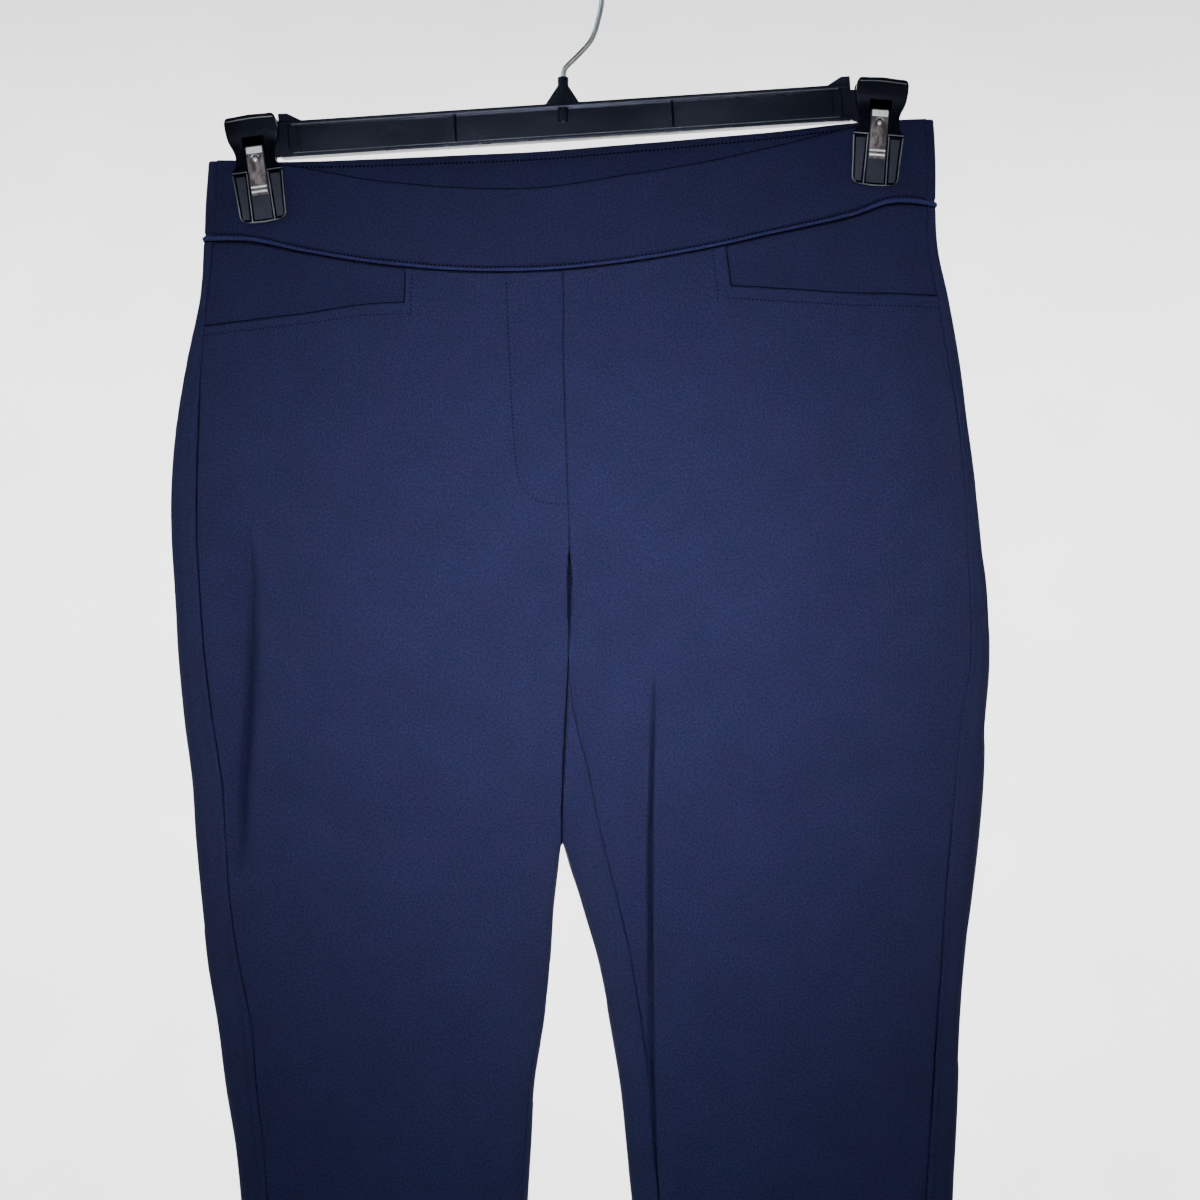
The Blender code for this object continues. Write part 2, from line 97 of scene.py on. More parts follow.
# down the body: the edges, how far in front of them the seams lie, and the depth of each face
bodyColumns = (
    "z", "leftOuter", "leftSeam", "leftInner", "leftInseam",
    "rightInner", "rightInseam", "rightOuter", "rightSeam", "front", "back",
)
bodySections = np.array((
    (-80, -184, 5, 0, 0, 0, 0, 193, 4, 16, 16),
    (-106, -184, 5, 0, 0, 0, 0, 194, 4, 16, 16),
    (-146, -186, 5, 0, 0, 0, 0, 195, 5, 17, 18),
    (-176, -188, 4, 1, 0, 1, 0, 201, 6, 18, 20),
    (-208, -195, 8, 1, 0, 1, 0, 206.6, 6, 19, 22),
    (-239, -200, 12, 2, 0, 2, 0, 210.6, 5, 20, 24),
    (-270, -203, 14, 3, 0, 3, 0, 214.8, 6, 20, 25),
    (-301, -203, 14, 4, 0, 4, 0, 218.2, 8, 20, 25),
    (-332, -201, 14, 4, 0, 4, 0, 221.8, 10, 19, 23),
    (-364, -199.4, 15, 3, 0, 4, 0, 222.7, 11, 18, 21),
    (-395, -196.5, 16, 1, 0, 3, 5, 220.6, 14, 17, 19),
    (-426, -192.6, 17, 0, 0, 1, 14, 219.6, 16, 17, 18),
    (-457, -190.6, 17, -1, 0, 1, 20, 217, 16, 16, 17),
    (-488, -187.8, 17, -3.9, 0, 10, 19, 213.3, 15, 16, 17),
    (-520, -184.5, 18, -5.8, 0, 19, 17, 209.7, 13, 16, 16),
    (-551, -179.5, 19, -8.8, 2, 25, 16, 207.5, 13, 15, 16),
    (-582, -175.4, 18, -13.5, 3, 30, 15, 206.5, 14, 15, 15),
    (-613, -170.3, 16, -15.2, 4, 33, 14, 205.3, 15, 15, 15),
    (-644, -167, 15, -17.4, 4, 36, 14, 203.5, 15, 14, 15),
    (-720, -161, 13, -20.5, 4, 43, 12, 200.5, 13, 14, 14),
    (-820, -156, 10, -23.5, 3, 51, 9, 195.5, 10, 13, 13),
    (-940, -153, 7, -25.5, 2, 58, 5, 190.5, 7, 12, 12),
    (-1072, -151, 5, -26.5, 1, 62, 2, 187.5, 5, 11, 11),
), float)

rideOn = "root"


def ease(share):
    share = np.clip(share, 0.0, 1.0)
    return share * share * (3.0 - 2.0 * share)


def readCurve(table, columns, column, at):
    # a smooth curve through one column, read at values of the first
    rows = table[np.argsort(table[:, 0])]
    key, value = rows[:, 0], rows[:, columns.index(column)]
    low, high = np.maximum(np.arange(len(key)) - 1, 0), np.minimum(np.arange(len(key)) + 1, len(key) - 1)
    slope = (value[high] - value[low]) / (key[high] - key[low])
    at = np.clip(at, key[0], key[-1])
    k = np.clip(np.searchsorted(key, at, side="right") - 1, 0, len(key) - 2)
    span = key[k + 1] - key[k]
    t = (at - key[k]) / span
    start = (2 * t**3 - 3 * t**2 + 1) * value[k] + (t**3 - 2 * t**2 + t) * span * slope[k]
    end = (3 * t**2 - 2 * t**3) * value[k + 1] + (t**3 - t**2) * span * slope[k + 1]
    return start + end


def waistLine(column, x):
    return readCurve(waistLines, waistColumns, column, x)


def bodySize(column, z):
    return readCurve(bodySections, bodyColumns, column, z)


def heightAt(x, level, front):
    # level 0 is the rim, 1 the waistband's seam, 2 the pocket line, 3 the hip, and then 1 more for each
    # levelHeight
    hip = form["hipZ"]
    rim = np.where(front, waistLine("frontRim", x), waistLine("backRim", x))
    lines = [rim, waistLine("seam", x), waistLine("pocket", x), hip + 0 * rim]
    bands = [level < 1, level < 2, level < 3]
    high = np.select(bands, lines[:3], hip)
    low = np.select(bands, lines[1:], hip)
    above = high + (low - high) * (level - np.floor(level))
    return np.where(level < 3, above, hip - (level - 3) * form["levelHeight"])


def bow(x):
    middle = sum(form["bandSpan"]) / 2
    t = (x - middle) / (form["bandSpan"][1] - middle)
    return np.maximum(0.0, 1 - t * t) ** form["bowPower"]


def clothPoint(side, level, turn):
    # the turn runs from 0 at the inner edge over the front to pi at the outer edge, and back behind
    front = np.sin(turn) >= 0
    share = (1 - np.cos(turn)) / 2
    z = np.where(level < 3, form["hipZ"], heightAt(0 * level, level, front))
    for _ in range(3):
        inner = bodySize(side + "Inner", z)
        outer = bodySize(side + "Outer", z)
        x = inner + (outer - inner) * share
        z = heightAt(x, level, front)
    joined = ease((z - form["crotchZ"]) / (form["cleftZ"] - form["crotchZ"]))
    lens = np.sqrt(np.maximum(0.0, 1 - np.abs(2 * share - 1) ** form["lensPower"]))
    halfLens = np.sqrt(np.maximum(0.0, 1 - share ** form["lensPower"]))
    depth = np.where(front, bodySize("front", z), bodySize("back", z))
    hang = depth * (joined * halfLens + (1 - joined) * lens)
    toEdge = np.minimum(1.0, np.abs(outer - x) / form["pinch"])
    grip = form["pinch"] * np.sqrt(1 - (1 - toEdge) ** 2)
    grip = grip + np.where(front, form["frontBow"], form["backBow"]) * bow(x)
    gripped = 1 - ease((level - 1) / 2)
    y = gripped * grip + (1 - gripped) * hang
    return np.stack([x, np.where(front, -y, y), z], -1)


def seamTurn(side, level, column):
    # the turn at which a seam, some way in front of an edge, lies
    z = heightAt(clothPoint(side, level, np.full_like(level, math.pi))[..., 0], level, True)
    width = np.abs(bodySize(side + "Outer", z) - bodySize(side + "Inner", z))
    share = bodySize(side + column, z) / width
    share = share if column == "Inseam" else 1 - share
    return np.arccos(1 - 2 * np.clip(share, 0.0, 1.0))


# distances from an edge at which the fine mesh has its first columns and rows
edgeSteps = np.array((0.0, 0.3, 0.7, 1.2, 1.9, 2.7, 3.6, 4.6, 5.8, 7.2))
fineSteps = 721  # along which the length of a row is measured


def arcTurns(side, level, start, end, count):
    # turns along each row, closer together at both ends and at the sharp creases
    sweep = start[:, None] + (end - start)[:, None] * np.linspace(0, 1, fineSteps)
    points = clothPoint(side, level[:, None] + 0 * sweep, sweep)
    run, spent = np.zeros_like(sweep), np.zeros_like(sweep)
    step = np.linalg.norm(np.diff(points, axis=1), axis=-1)
    run[:, 1:] = np.cumsum(step, axis=1)
    spent[:, 1:] = np.cumsum(step * creaseWeight(points)[:, 1:], axis=1)
    length = run[:, -1:]
    middle = np.linspace(0, 1, count + 2)[1:-1]
    rest = []
    for along, weight, whole in zip(run, spent, length[:, 0]):
        low, high = np.interp((edgeSteps[-1], whole - edgeSteps[-1]), along, weight)
        rest.append(np.interp(low + (high - low) * middle, weight, along))
    steps = np.concatenate([edgeSteps + 0 * length, rest, length - edgeSteps[::-1]], axis=1)
    turns = np.array([np.interp(*row) for row in zip(steps, run, sweep)])
    return turns, steps


# how many more columns a sharp crease draws to it, how far to its sides and past its ends
gather = {"times": 5.0, "reach": 5.0, "pastEnds": 0.15}


def creaseWeight(points):
    x, z = points[..., 0], points[..., 2]
    weight = np.ones(x.shape)
    for face, ahead in (("front", points[..., 1] < 0), ("back", points[..., 1] >= 0)):
        for fold in folds[face]:
            if "crease" in fold:
                path = smoothPath(fold["path"])
                at = np.interp(-z, -path[:, 1], path[:, 0])
                along = (path[0, 1] - z) / (path[0, 1] - path[-1, 1])
                past = gather["pastEnds"]
                fade = ease((along + past) / past) * ease((1 + past - along) / past)
                weight += ahead * fade * gather["times"] * np.exp(-(((x - at) / gather["reach"]) ** 2))
    return weight


def frontColumns(side, level, counts):
    start, end = seamTurn(side, level, "Inseam"), seamTurn(side, level, "Seam")
    upright = np.full_like(level, math.acos(1 - 2 * form["pocketShare"]))
    inner, innerRun = arcTurns(side, level, start, upright, counts[0])
    outer, outerRun = arcTurns(side, level, upright, end, counts[1])
    turns = np.concatenate([inner, outer[:, 1:]], axis=1)
    run = np.concatenate([innerRun, innerRun[:, -1:] + outerRun[:, 1:]], axis=1)
    return turns, run, inner.shape[1] - 1


def backColumns(side, level, count):
    start, end = seamTurn(side, level, "Seam"), seamTurn(side, level, "Inseam")
    return arcTurns(side, level, start, 2 * math.pi + end, count)


def loopMiddle(points):
    # a point inside the garment's loop, from which the normals point away
    return np.array((points[..., 0].mean(), 0, points[..., 2].mean()))


def outwardNormals(points, away):
    normal = np.cross(np.gradient(points, axis=1), np.gradient(points, axis=0))
    normal /= np.maximum(np.linalg.norm(normal, axis=-1, keepdims=True), 1e-9)
    middle = tuple(n // 2 for n in points.shape[:2])
    facing = np.sign(np.dot(normal[middle], points[middle] - away))
    return normal * facing


def raised(points, relief, away):
    # the cloth moved out by its relief, and its new normals
    points = points + outwardNormals(points, away) * relief[..., None]
    return points, outwardNormals(points, away)


def allCells(points):
    return np.ones((points.shape[0] - 1, points.shape[1] - 1), bool)


def shellObject(name, outside, inside, keep, run, material):
    # a closed wall between two grids of points, without the cells that keep leaves out
    rows, columns = outside.shape[:2]
    index = np.arange(rows * columns).reshape(rows, columns)
    corners = [index[:-1, :-1], index[:-1, 1:], index[1:, 1:], index[1:, :-1]]
    back = rows * columns
    padded = np.pad(keep, 1)
    beside = [padded[:-2, 1:-1], padded[1:-1, 2:], padded[2:, 1:-1], padded[1:-1, :-2]]
    quads = np.stack(corners, -1)[keep]
    faces = [quads, quads[:, ::-1] + back]
    for k in range(4):
        edge = keep & ~beside[k]
        a, b = corners[k][edge], corners[(k + 1) % 4][edge]
        faces.append(np.stack([a, a + back, b + back, b], -1))
    faces = np.concatenate(faces)
    points = np.concatenate([outside.reshape(-1, 3), inside.reshape(-1, 3)]) * mm
    middle = quads[len(quads) // 2]
    normal = np.cross(points[middle[1]] - points[middle[0]], points[middle[3]] - points[middle[0]])
    if np.dot(normal, points[middle[0]] - points[middle[0] + back]) < 0:
        faces = faces[:, ::-1]
    used, faces = np.unique(faces, return_inverse=True)
    faces = faces.reshape(-1, 4)
    down = np.zeros_like(run)
    down[1:] = np.cumsum(np.linalg.norm(np.diff(outside, axis=0), axis=-1), axis=0)
    flat = np.stack([run, -down], -1).reshape(-1, 2) * mm
    flat = np.concatenate([flat, flat])[used]
    mesh = bpy.data.meshes.new(name)
    mesh.from_pydata(points[used].tolist(), [], faces.tolist())
    layer = mesh.uv_layers.new(name="cloth")
    layer.data.foreach_set("uv", flat[faces.reshape(-1)].astype(np.float32).reshape(-1))
    mesh.shade_smooth()
    mesh.set_sharp_from_angle(angle=math.radians(55))
    return addPiece(name, mesh, material)


def addPiece(name, mesh, *materials):
    piece = bpy.data.objects.new(name, mesh)
    bpy.context.scene.collection.objects.link(piece)
    for material in materials:
        mesh.materials.append(material)
    return piece


def flatSize(outside, keep):
    # the cut's width, length and area in metres, from the cloth's own distances
    across = np.linalg.norm(np.diff(outside, axis=1), axis=-1).sum(axis=1).max() * mm
    down = np.linalg.norm(np.diff(outside, axis=0), axis=-1).sum(axis=0).max() * mm
    a, b, c, d = outside[:-1, :-1], outside[:-1, 1:], outside[1:, 1:], outside[1:, :-1]
    cells = np.linalg.norm(np.cross(c - a, d - b), axis=-1) / 2
    return (round(float(across), 3), round(float(down), 3)), float(cells[keep].sum()) * mm * mm


def finishCloth(piece, node, outside, keep):
    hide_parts(node)
    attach(piece, rideOn)
    flat, area = flatSize(outside, keep)
    area = min(area, flat[0] * flat[1])
    print(f"  {piece.name}: cut {flat[0]:.3f} x {flat[1]:.3f} m, {area:.4f} square metres")


# shader groups and materials, each made once


def addNodes(tree, kinds):
    made = {}
    for label, kind in kinds.items():
        made[label] = tree.nodes.new(kind)
        made[label].name = label
    return made


def knitGroup():
    # fine stitch columns, flecks of paler yarn and slow changes of tone, on a map in metres
    group = bpy.data.node_groups.new("knitSurface", "ShaderNodeTree")
    sockets = {
        "Wale Width": 0.0004, "Course Height": 0.00045, "Fleck Size": 0.0011, "Patch Size": 0.03,
    }
    group.interface.new_socket("Coordinates", in_out="INPUT", socket_type="NodeSocketVector")
    for label, value in sockets.items():
        socket = group.interface.new_socket(label, in_out="INPUT", socket_type="NodeSocketFloat")
        socket.default_value = value
    for label in ("Height", "Fleck", "Patch", "Hue Drift"):
        group.interface.new_socket(label, in_out="OUTPUT", socket_type="NodeSocketFloat")
    n = addNodes(group, {
        "in": "NodeGroupInput", "out": "NodeGroupOutput", "apart": "ShaderNodeSeparateXYZ",
    })
    link = group.links.new
    link(n["in"].outputs["Coordinates"], n["apart"].inputs[0])

    def maths(operation, *values):
        node = group.nodes.new("ShaderNodeMath")
        node.operation = operation
        for k, value in enumerate(values):
            if isinstance(value, bpy.types.NodeSocket):
                link(value, node.inputs[k])
            else:
                node.inputs[k].default_value = value
        return node.outputs[0]

    def wave(axis, width):
        turns = maths("DIVIDE", n["apart"].outputs[axis], n["in"].outputs[width])
        return maths("ABSOLUTE", maths("SINE", maths("MULTIPLY", turns, math.pi)))

    def noise(size, detail, label):
        node = group.nodes.new("ShaderNodeTexNoise")
        node.label = label
        node.inputs["Detail"].default_value = detail
        node.inputs["Roughness"].default_value = 0.6
        link(n["in"].outputs["Coordinates"], node.inputs["Vector"])
        link(maths("DIVIDE", 1.0, size), node.inputs["Scale"])
        return node.outputs["Fac"]

    loops = maths("MULTIPLY", wave("X", "Wale Width"), maths("ADD", wave("Y", "Course Height"), 0.6))
    fleck = noise(n["in"].outputs["Fleck Size"], 2.0, "fleck")
    patch = noise(n["in"].outputs["Patch Size"], 3.0, "patch")
    drift = noise(maths("MULTIPLY", n["in"].outputs["Patch Size"], 0.55), 2.0, "hue drift")
    link(maths("ADD", loops, maths("MULTIPLY", fleck, 0.8)), n["out"].inputs["Height"])
    link(fleck, n["out"].inputs["Fleck"])
    link(patch, n["out"].inputs["Patch"])
    link(drift, n["out"].inputs["Hue Drift"])
    return group


def newMaterial(name, roughness, metallic=0.0):
    material = bpy.data.materials.new(name)
    material.use_nodes = True
    shader = material.node_tree.nodes["Principled BSDF"]
    shader.inputs["Roughness"].default_value = roughness
    shader.inputs["Metallic"].default_value = metallic
    return material, material.node_tree, shader


def rampColour(tree, value, stops, label):
    ramp = tree.nodes.new("ShaderNodeValToRGB")
    ramp.label = label
    while len(ramp.color_ramp.elements) < len(stops):
        ramp.color_ramp.elements.new(0.5)
    for element, (place, colour) in zip(ramp.color_ramp.elements, stops):
        element.position = place
        element.color = (*colour, 1.0)
    tree.links.new(value, ramp.inputs["Fac"])
    return ramp.outputs["Color"]


def mixColours(tree, share, first, second, blend="MIX"):
    mix = tree.nodes.new("ShaderNodeMix")
    mix.data_type = "RGBA"
    mix.blend_type = blend
    for socket, value in ((mix.inputs[0], share), (mix.inputs[6], first), (mix.inputs[7], second)):
        if isinstance(value, bpy.types.NodeSocket):
            tree.links.new(value, socket)
        else:
            socket.default_value = value if isinstance(value, float) else (*value, 1.0)
    return mix.outputs[2]


def addBump(tree, shader, height, strength, distance):
    bump = tree.nodes.new("ShaderNodeBump")
    bump.inputs["Strength"].default_value = strength
    bump.inputs["Distance"].default_value = distance
    tree.links.new(height, bump.inputs["Height"])
    tree.links.new(bump.outputs["Normal"], shader.inputs["Normal"])


knit = {
    "navy": (0.0135, 0.0142, 0.0585),
    "band": (0.0114, 0.0121, 0.0515),
    "facing": (0.0118, 0.0126, 0.0525),
    # the piping's paler copy of the knit is a painted highlight along its roll
    "pipingHighlight": (0.0245, 0.0264, 0.1080),
    "fleckDark": 0.55,
    "fleckPale": 1.5,
    "patchDark": 0.92,
    "patchPale": 1.08,
    "violet": (1.08, 0.98, 1.0),
    "teal": (0.94, 1.03, 1.0),
    "roughness": 0.62,
    "gloss": 0.18,
    "sheen": 0.02,
    "sheenRoughness": 0.42,
    "sheenTint": (0.45, 0.52, 0.9, 1.0),
    "bumpStrength": 0.5,
    "bumpDistance": 0.00025,
}


def knitMaterial(name, colour, group):
    material, tree, shader = newMaterial(name, knit["roughness"])
    uv = tree.nodes.new("ShaderNodeUVMap")
    uv.uv_map = "cloth"
    surface = tree.nodes.new("ShaderNodeGroup")
    surface.node_tree = group
    tree.links.new(uv.outputs["UV"], surface.inputs["Coordinates"])

    def greys(label, dark, pale, name):
        stops = ((0.3, (knit[dark],) * 3), (0.7, (knit[pale],) * 3))
        return rampColour(tree, surface.outputs[label], stops, name)

    flecks = greys("Fleck", "fleckDark", "fleckPale", "flecks")
    patches = greys("Patch", "patchDark", "patchPale", "patches")
    drift = rampColour(
        tree, surface.outputs["Hue Drift"], ((0.35, knit["teal"]), (0.65, knit["violet"])), "drift")
    tone = colour
    for layer in (flecks, patches, drift):
        tone = mixColours(tree, 1.0, tone, layer, "MULTIPLY")
    tree.links.new(tone, shader.inputs["Base Color"])
    shader.inputs["Sheen Weight"].default_value = knit["sheen"]
    shader.inputs["Sheen Roughness"].default_value = knit["sheenRoughness"]
    shader.inputs["Sheen Tint"].default_value = knit["sheenTint"]
    shader.inputs["Specular IOR Level"].default_value = knit["gloss"]
    addBump(tree, shader, surface.outputs["Height"], knit["bumpStrength"], knit["bumpDistance"])
    return material


def objectNoise(tree, scale, detail, stretch=(1, 1, 1)):
    place = tree.nodes.new("ShaderNodeTexCoord")
    mapping = tree.nodes.new("ShaderNodeMapping")
    mapping.inputs["Scale"].default_value = stretch
    tree.links.new(place.outputs["Object"], mapping.inputs["Vector"])
    noise = tree.nodes.new("ShaderNodeTexNoise")
    noise.inputs["Scale"].default_value = scale
    noise.inputs["Detail"].default_value = detail
    tree.links.new(mapping.outputs["Vector"], noise.inputs["Vector"])
    return noise.outputs["Fac"]


def spreadRoughness(tree, shader, value, between, roughness):
    spread = tree.nodes.new("ShaderNodeMapRange")
    for label, size in zip(("From Min", "From Max", "To Min", "To Max"), (*between, *roughness)):
        spread.inputs[label].default_value = size
    tree.links.new(value, spread.inputs["Value"])
    tree.links.new(spread.outputs["Result"], shader.inputs["Roughness"])


def threadMaterial(name, dark, pale):
    material, tree, shader = newMaterial(name, 0.7)
    colour = rampColour(tree, objectNoise(tree, 900, 2), ((0.35, dark), (0.7, pale)), "thread")
    tree.links.new(colour, shader.inputs["Base Color"])
    shader.inputs["Specular IOR Level"].default_value = 0.08
    addBump(tree, shader, objectNoise(tree, 2600, 1), 0.4, 0.0001)
    return material


def plasticMaterial(name, dark, pale, roughness, scuff, gloss):
    # moulded plastic: a faint grain, and slow streaks where handling has rubbed it
    material, tree, shader = newMaterial(name, roughness[0])
    wearAndHighlight = objectNoise(tree, 34, 5, scuff)
    colour = rampColour(tree, wearAndHighlight, ((0.4, dark), (0.72, pale)), "wearAndHighlight")
    tree.links.new(colour, shader.inputs["Base Color"])
    spreadRoughness(tree, shader, wearAndHighlight, (0.3, 0.7), roughness)
    addBump(tree, shader, objectNoise(tree, 1500, 2), 0.15, 0.0001)
    shader.inputs["Specular IOR Level"].default_value = gloss
    shader.inputs["Specular Tint"].default_value = (0.62, 0.68, 1.0, 1.0)
    return material


def metalMaterial(name, dark, pale, roughness, stretch, scale):
    material, tree, shader = newMaterial(name, roughness[0], 1.0)
    streaks = objectNoise(tree, scale, 4, stretch)
    colour = rampColour(tree, streaks, ((0.38, dark), (0.66, pale)), "streaks")
    tree.links.new(colour, shader.inputs["Base Color"])
    spreadRoughness(tree, shader, streaks, (0.35, 0.65), roughness[::-1])
    addBump(tree, shader, streaks, 0.1, 0.0001)
    return material


def wallMaterial():
    material, tree, shader = newMaterial("palePlaster", 0.9)
    colour = rampColour(
        tree, objectNoise(tree, 6, 2), ((0.3, (0.5, 0.503, 0.505)), (0.7, (0.535, 0.535, 0.532))), "plaster")
    tree.links.new(colour, shader.inputs["Base Color"])
    return material


knitNodes = knitGroup()
materials = {
    "cloth": knitMaterial("navyKnit", knit["navy"], knitNodes),
    "band": knitMaterial("navyWaistband", knit["band"], knitNodes),
    "facing": knitMaterial("navyPocketFacing", knit["facing"], knitNodes),
    # the needle thread is darker than the cloth: painted shade of the needle holes
    "needleShadeThread": threadMaterial("needleShadeThread", (0.0012, 0.0015, 0.006), (0.0026, 0.0032, 0.012)),
    # the hem thread is darker than the cloth: painted shade of the stitch holes
    "hemThread": threadMaterial("hemThread", (0.0021, 0.0026, 0.01), (0.0043, 0.0052, 0.02)),
    "sideThread": threadMaterial("sideThread", (0.017, 0.0185, 0.068), (0.028, 0.0305, 0.105)),
    # the seam thread is a near-black cord of painted shade laid in gaps
    "seamThread": threadMaterial("seamThread", (0.0003, 0.0004, 0.0012), (0.0006, 0.0008, 0.0025)),
    # the edge thread is a dark cord of painted shade along edges and where cloth meets cloth
    "edgeThread": threadMaterial("edgeThread", (0.0012, 0.0015, 0.006), (0.0026, 0.0032, 0.012)),
    "pipingHighlight": knitMaterial("navyPipingHighlight", knit["pipingHighlight"], knitNodes),
    "bar": plasticMaterial(
        "barPlastic", (0.0016, 0.0023, 0.0058), (0.0068, 0.0085, 0.0158), (0.2, 0.32), (0.4, 1, 1), 0.34),
    # a pale copy of the bar's plastic: painted highlight along its edges
    "barHighlight": plasticMaterial(
        "paintedHighlightBarEdge", (0.045, 0.05, 0.06), (0.19, 0.2, 0.215), (0.18, 0.26), (0.3, 1, 1), 0.8),
    "clip": plasticMaterial(
        "clipPlastic", (0.0008, 0.0012, 0.0028), (0.002, 0.0028, 0.0058), (0.16, 0.24), (1, 1, 1), 0.13),
    # a pale copy of the clip's plastic: painted highlight along its rims and lines
    "clipHighlight": plasticMaterial(
        "paintedHighlightClipEdge", (0.1, 0.108, 0.12), (0.32, 0.335, 0.355), (0.2, 0.3), (1, 1, 1), 0.8),
    "clipPanel": plasticMaterial(
        "dullClipPanel", (0.017, 0.019, 0.025), (0.041, 0.0445, 0.054), (0.42, 0.55), (1, 1, 1), 0.3),
    "wire": metalMaterial(
        "brightWire", (0.5, 0.5, 0.51), (0.72, 0.72, 0.72), (0.16, 0.28), (1, 1, 1), 260),
    "zinc": metalMaterial(
        "zincSpring", (0.055, 0.042, 0.046), (0.2, 0.18, 0.195), (0.34, 0.48), (1, 1, 0.5), 420),
    # a pale copy of the zinc: painted highlight on the spring's raised parts
    "zincHighlight": metalMaterial(
        "zincHighlight", (0.74, 0.79, 0.79), (0.93, 0.96, 0.96), (0.3, 0.38), (1, 1, 1), 300),
    "wall": wallMaterial(),
}
print("materials made:", len(materials))

# Folds, hollows and puffs of the hanging cloth: the depth of a trough, or minus the height of a ridge,
# its reach to either side, and where it runs as x and z points. A crease is the sharp line at its bottom:
# its own depth and reach.
folds = {
    "front": (
        {"name": "left knee trough", "depth": 1.4, "reach": (10, 5), "crease": (9.0, 2.7),
         "path": ((-161, -292), (-160.4, -345), (-162.6, -392), (-165, -425), (-165.6, -450),
                  (-166.5, -478))},
        {"name": "left shin crease", "depth": 1.6, "reach": (9, 12),
         "path": ((-69, -488), (-75, -535), (-78, -590), (-76, -660), (-72, -740))},
        {"name": "right crisp fold", "depth": 0.5, "reach": (9, 5), "crease": (8.0, 0.72),
         "path": ((48, -368), (46.8, -400), (45.8, -440), (45.4, -490), (46, -566), (49, -650), (56, -760))},
        {"name": "crotch whisker left", "depth": 0.9, "reach": (4, 4),
         "path": ((-20, -272), (-9, -284), (-1, -299), (3, -314))},
        {"name": "crotch whisker right", "depth": 0.9, "reach": (5, 4),
         "path": ((6, -316), (10, -305), (17, -295), (27, -286))},
        {"name": "hip hollow left", "depth": 1.6, "reach": (16, 20),
         "path": ((-62, -160), (-70, -200), (-75, -240), (-70, -285))},
        {"name": "hip hollow right", "depth": 0.9, "reach": (20, 14),
         "path": ((64, -165), (58, -205), (54, -250), (60, -290))},
        {"name": "fly edge", "depth": -0.9, "reach": (3, 5),
         "path": ((-31, -196), (-29, -222), (-27, -250), (-25, -266))},
        {"name": "centre puff", "depth": -1.4, "reach": (9, 14),
         "path": ((14, -196), (17, -225), (19, -252), (18, -275))},
        {"name": "thigh puff left", "depth": -2.2, "reach": (30, 34),
         "path": ((-96, -270), (-92, -340), (-94, -420), (-100, -520))},
        {"name": "thigh puff right", "depth": -2.2, "reach": (34, 36),
         "path": ((128, -270), (122, -350), (124, -440), (128, -540))},
        {"name": "packing crease right", "depth": 0.6, "reach": (2.6, 2.6),
         "path": ((46, -420), (98, -423), (150, -420), (217, -417))},
        {"name": "packing crease right low", "depth": 0.5, "reach": (2.6, 2.6),
         "path": ((66, -536), (110, -534), (160, -537), (207, -533))},
        {"name": "packing crease left", "depth": 0.5, "reach": (2.6, 2.6),
         "path": ((-150, -433), (-100, -431), (-50, -433), (-6, -430))},
        {"name": "left ankle fold", "depth": 1.4, "reach": (5, 9),
         "path": ((-112, -760), (-106, -850), (-104, -950), (-108, -1050))},
        {"name": "right ankle fold", "depth": 1.5, "reach": (8, 4), "crease": (2.4, 1.6),
         "path": ((98, -700), (104, -800), (108, -900), (106, -1030))},
        {"name": "left inner fold", "depth": 1.0, "reach": (7, 4),
         "path": ((-52, -820), (-56, -900), (-60, -1000), (-60, -1060))},
    ),
    "back": (
        {"name": "seat trough left", "depth": 2.4, "reach": (6, 12),
         "path": ((-22, -296), (-40, -330), (-66, -352), (-98, -362))},
        {"name": "seat trough right", "depth": 2.2, "reach": (6, 12),
         "path": ((22, -300), (44, -336), (72, -354), (112, -360))},
        {"name": "seat fold left", "depth": 1.5, "reach": (5, 9),
         "path": ((-16, -330), (-34, -376), (-58, -404), (-84, -416))},
        {"name": "seat fold right", "depth": 1.4, "reach": (5, 8),
         "path": ((18, -338), (36, -380), (60, -408), (92, -424))},
        {"name": "left calf fold", "depth": 1.6, "reach": (9, 4), "crease": (4.4, 1.8),
         "path": ((-118, -420), (-112, -540), (-108, -640), (-112, -760))},
        {"name": "right calf fold", "depth": 1.6, "reach": (4, 9), "crease": (4.8, 1.5),
         "path": ((150, -400), (144, -520), (140, -640), (143, -780))},
        {"name": "left thigh puff", "depth": -2.4, "reach": (30, 30),
         "path": ((-90, -190), (-96, -250), (-92, -300), (-86, -330))},
        {"name": "right thigh puff", "depth": -2.4, "reach": (32, 30),
         "path": ((98, -190), (106, -250), (102, -300), (96, -330))},
        {"name": "left ankle fold behind", "depth": 1.4, "reach": (8, 4),
         "path": ((-70, -800), (-76, -900), (-80, -980), (-78, -1050))},
        {"name": "right ankle fold behind", "depth": 1.4, "reach": (4, 8),
         "path": ((110, -820), (116, -920), (120, -1000), (118, -1056))},
        {"name": "packing crease behind left", "depth": 0.5, "reach": (2.6, 2.6),
         "path": ((-196, -428), (-130, -431), (-60, -429), (-8, -432))},
        {"name": "packing crease behind right", "depth": 0.5, "reach": (2.6, 2.6),
         "path": ((10, -424), (80, -421), (150, -424), (214, -420))},
    ),
}


def smoothPath(points, perSpan=8):
    points = np.asarray(points, float)
    key = np.arange(len(points), dtype=float)
    at = np.linspace(0, len(points) - 1, (len(points) - 1) * perSpan + 1)
    columns = [readCurve(np.stack([key, points[:, k]], 1), ("key", "value"), "value", at)
               for k in range(points.shape[1])]
    return np.stack(columns, 1)


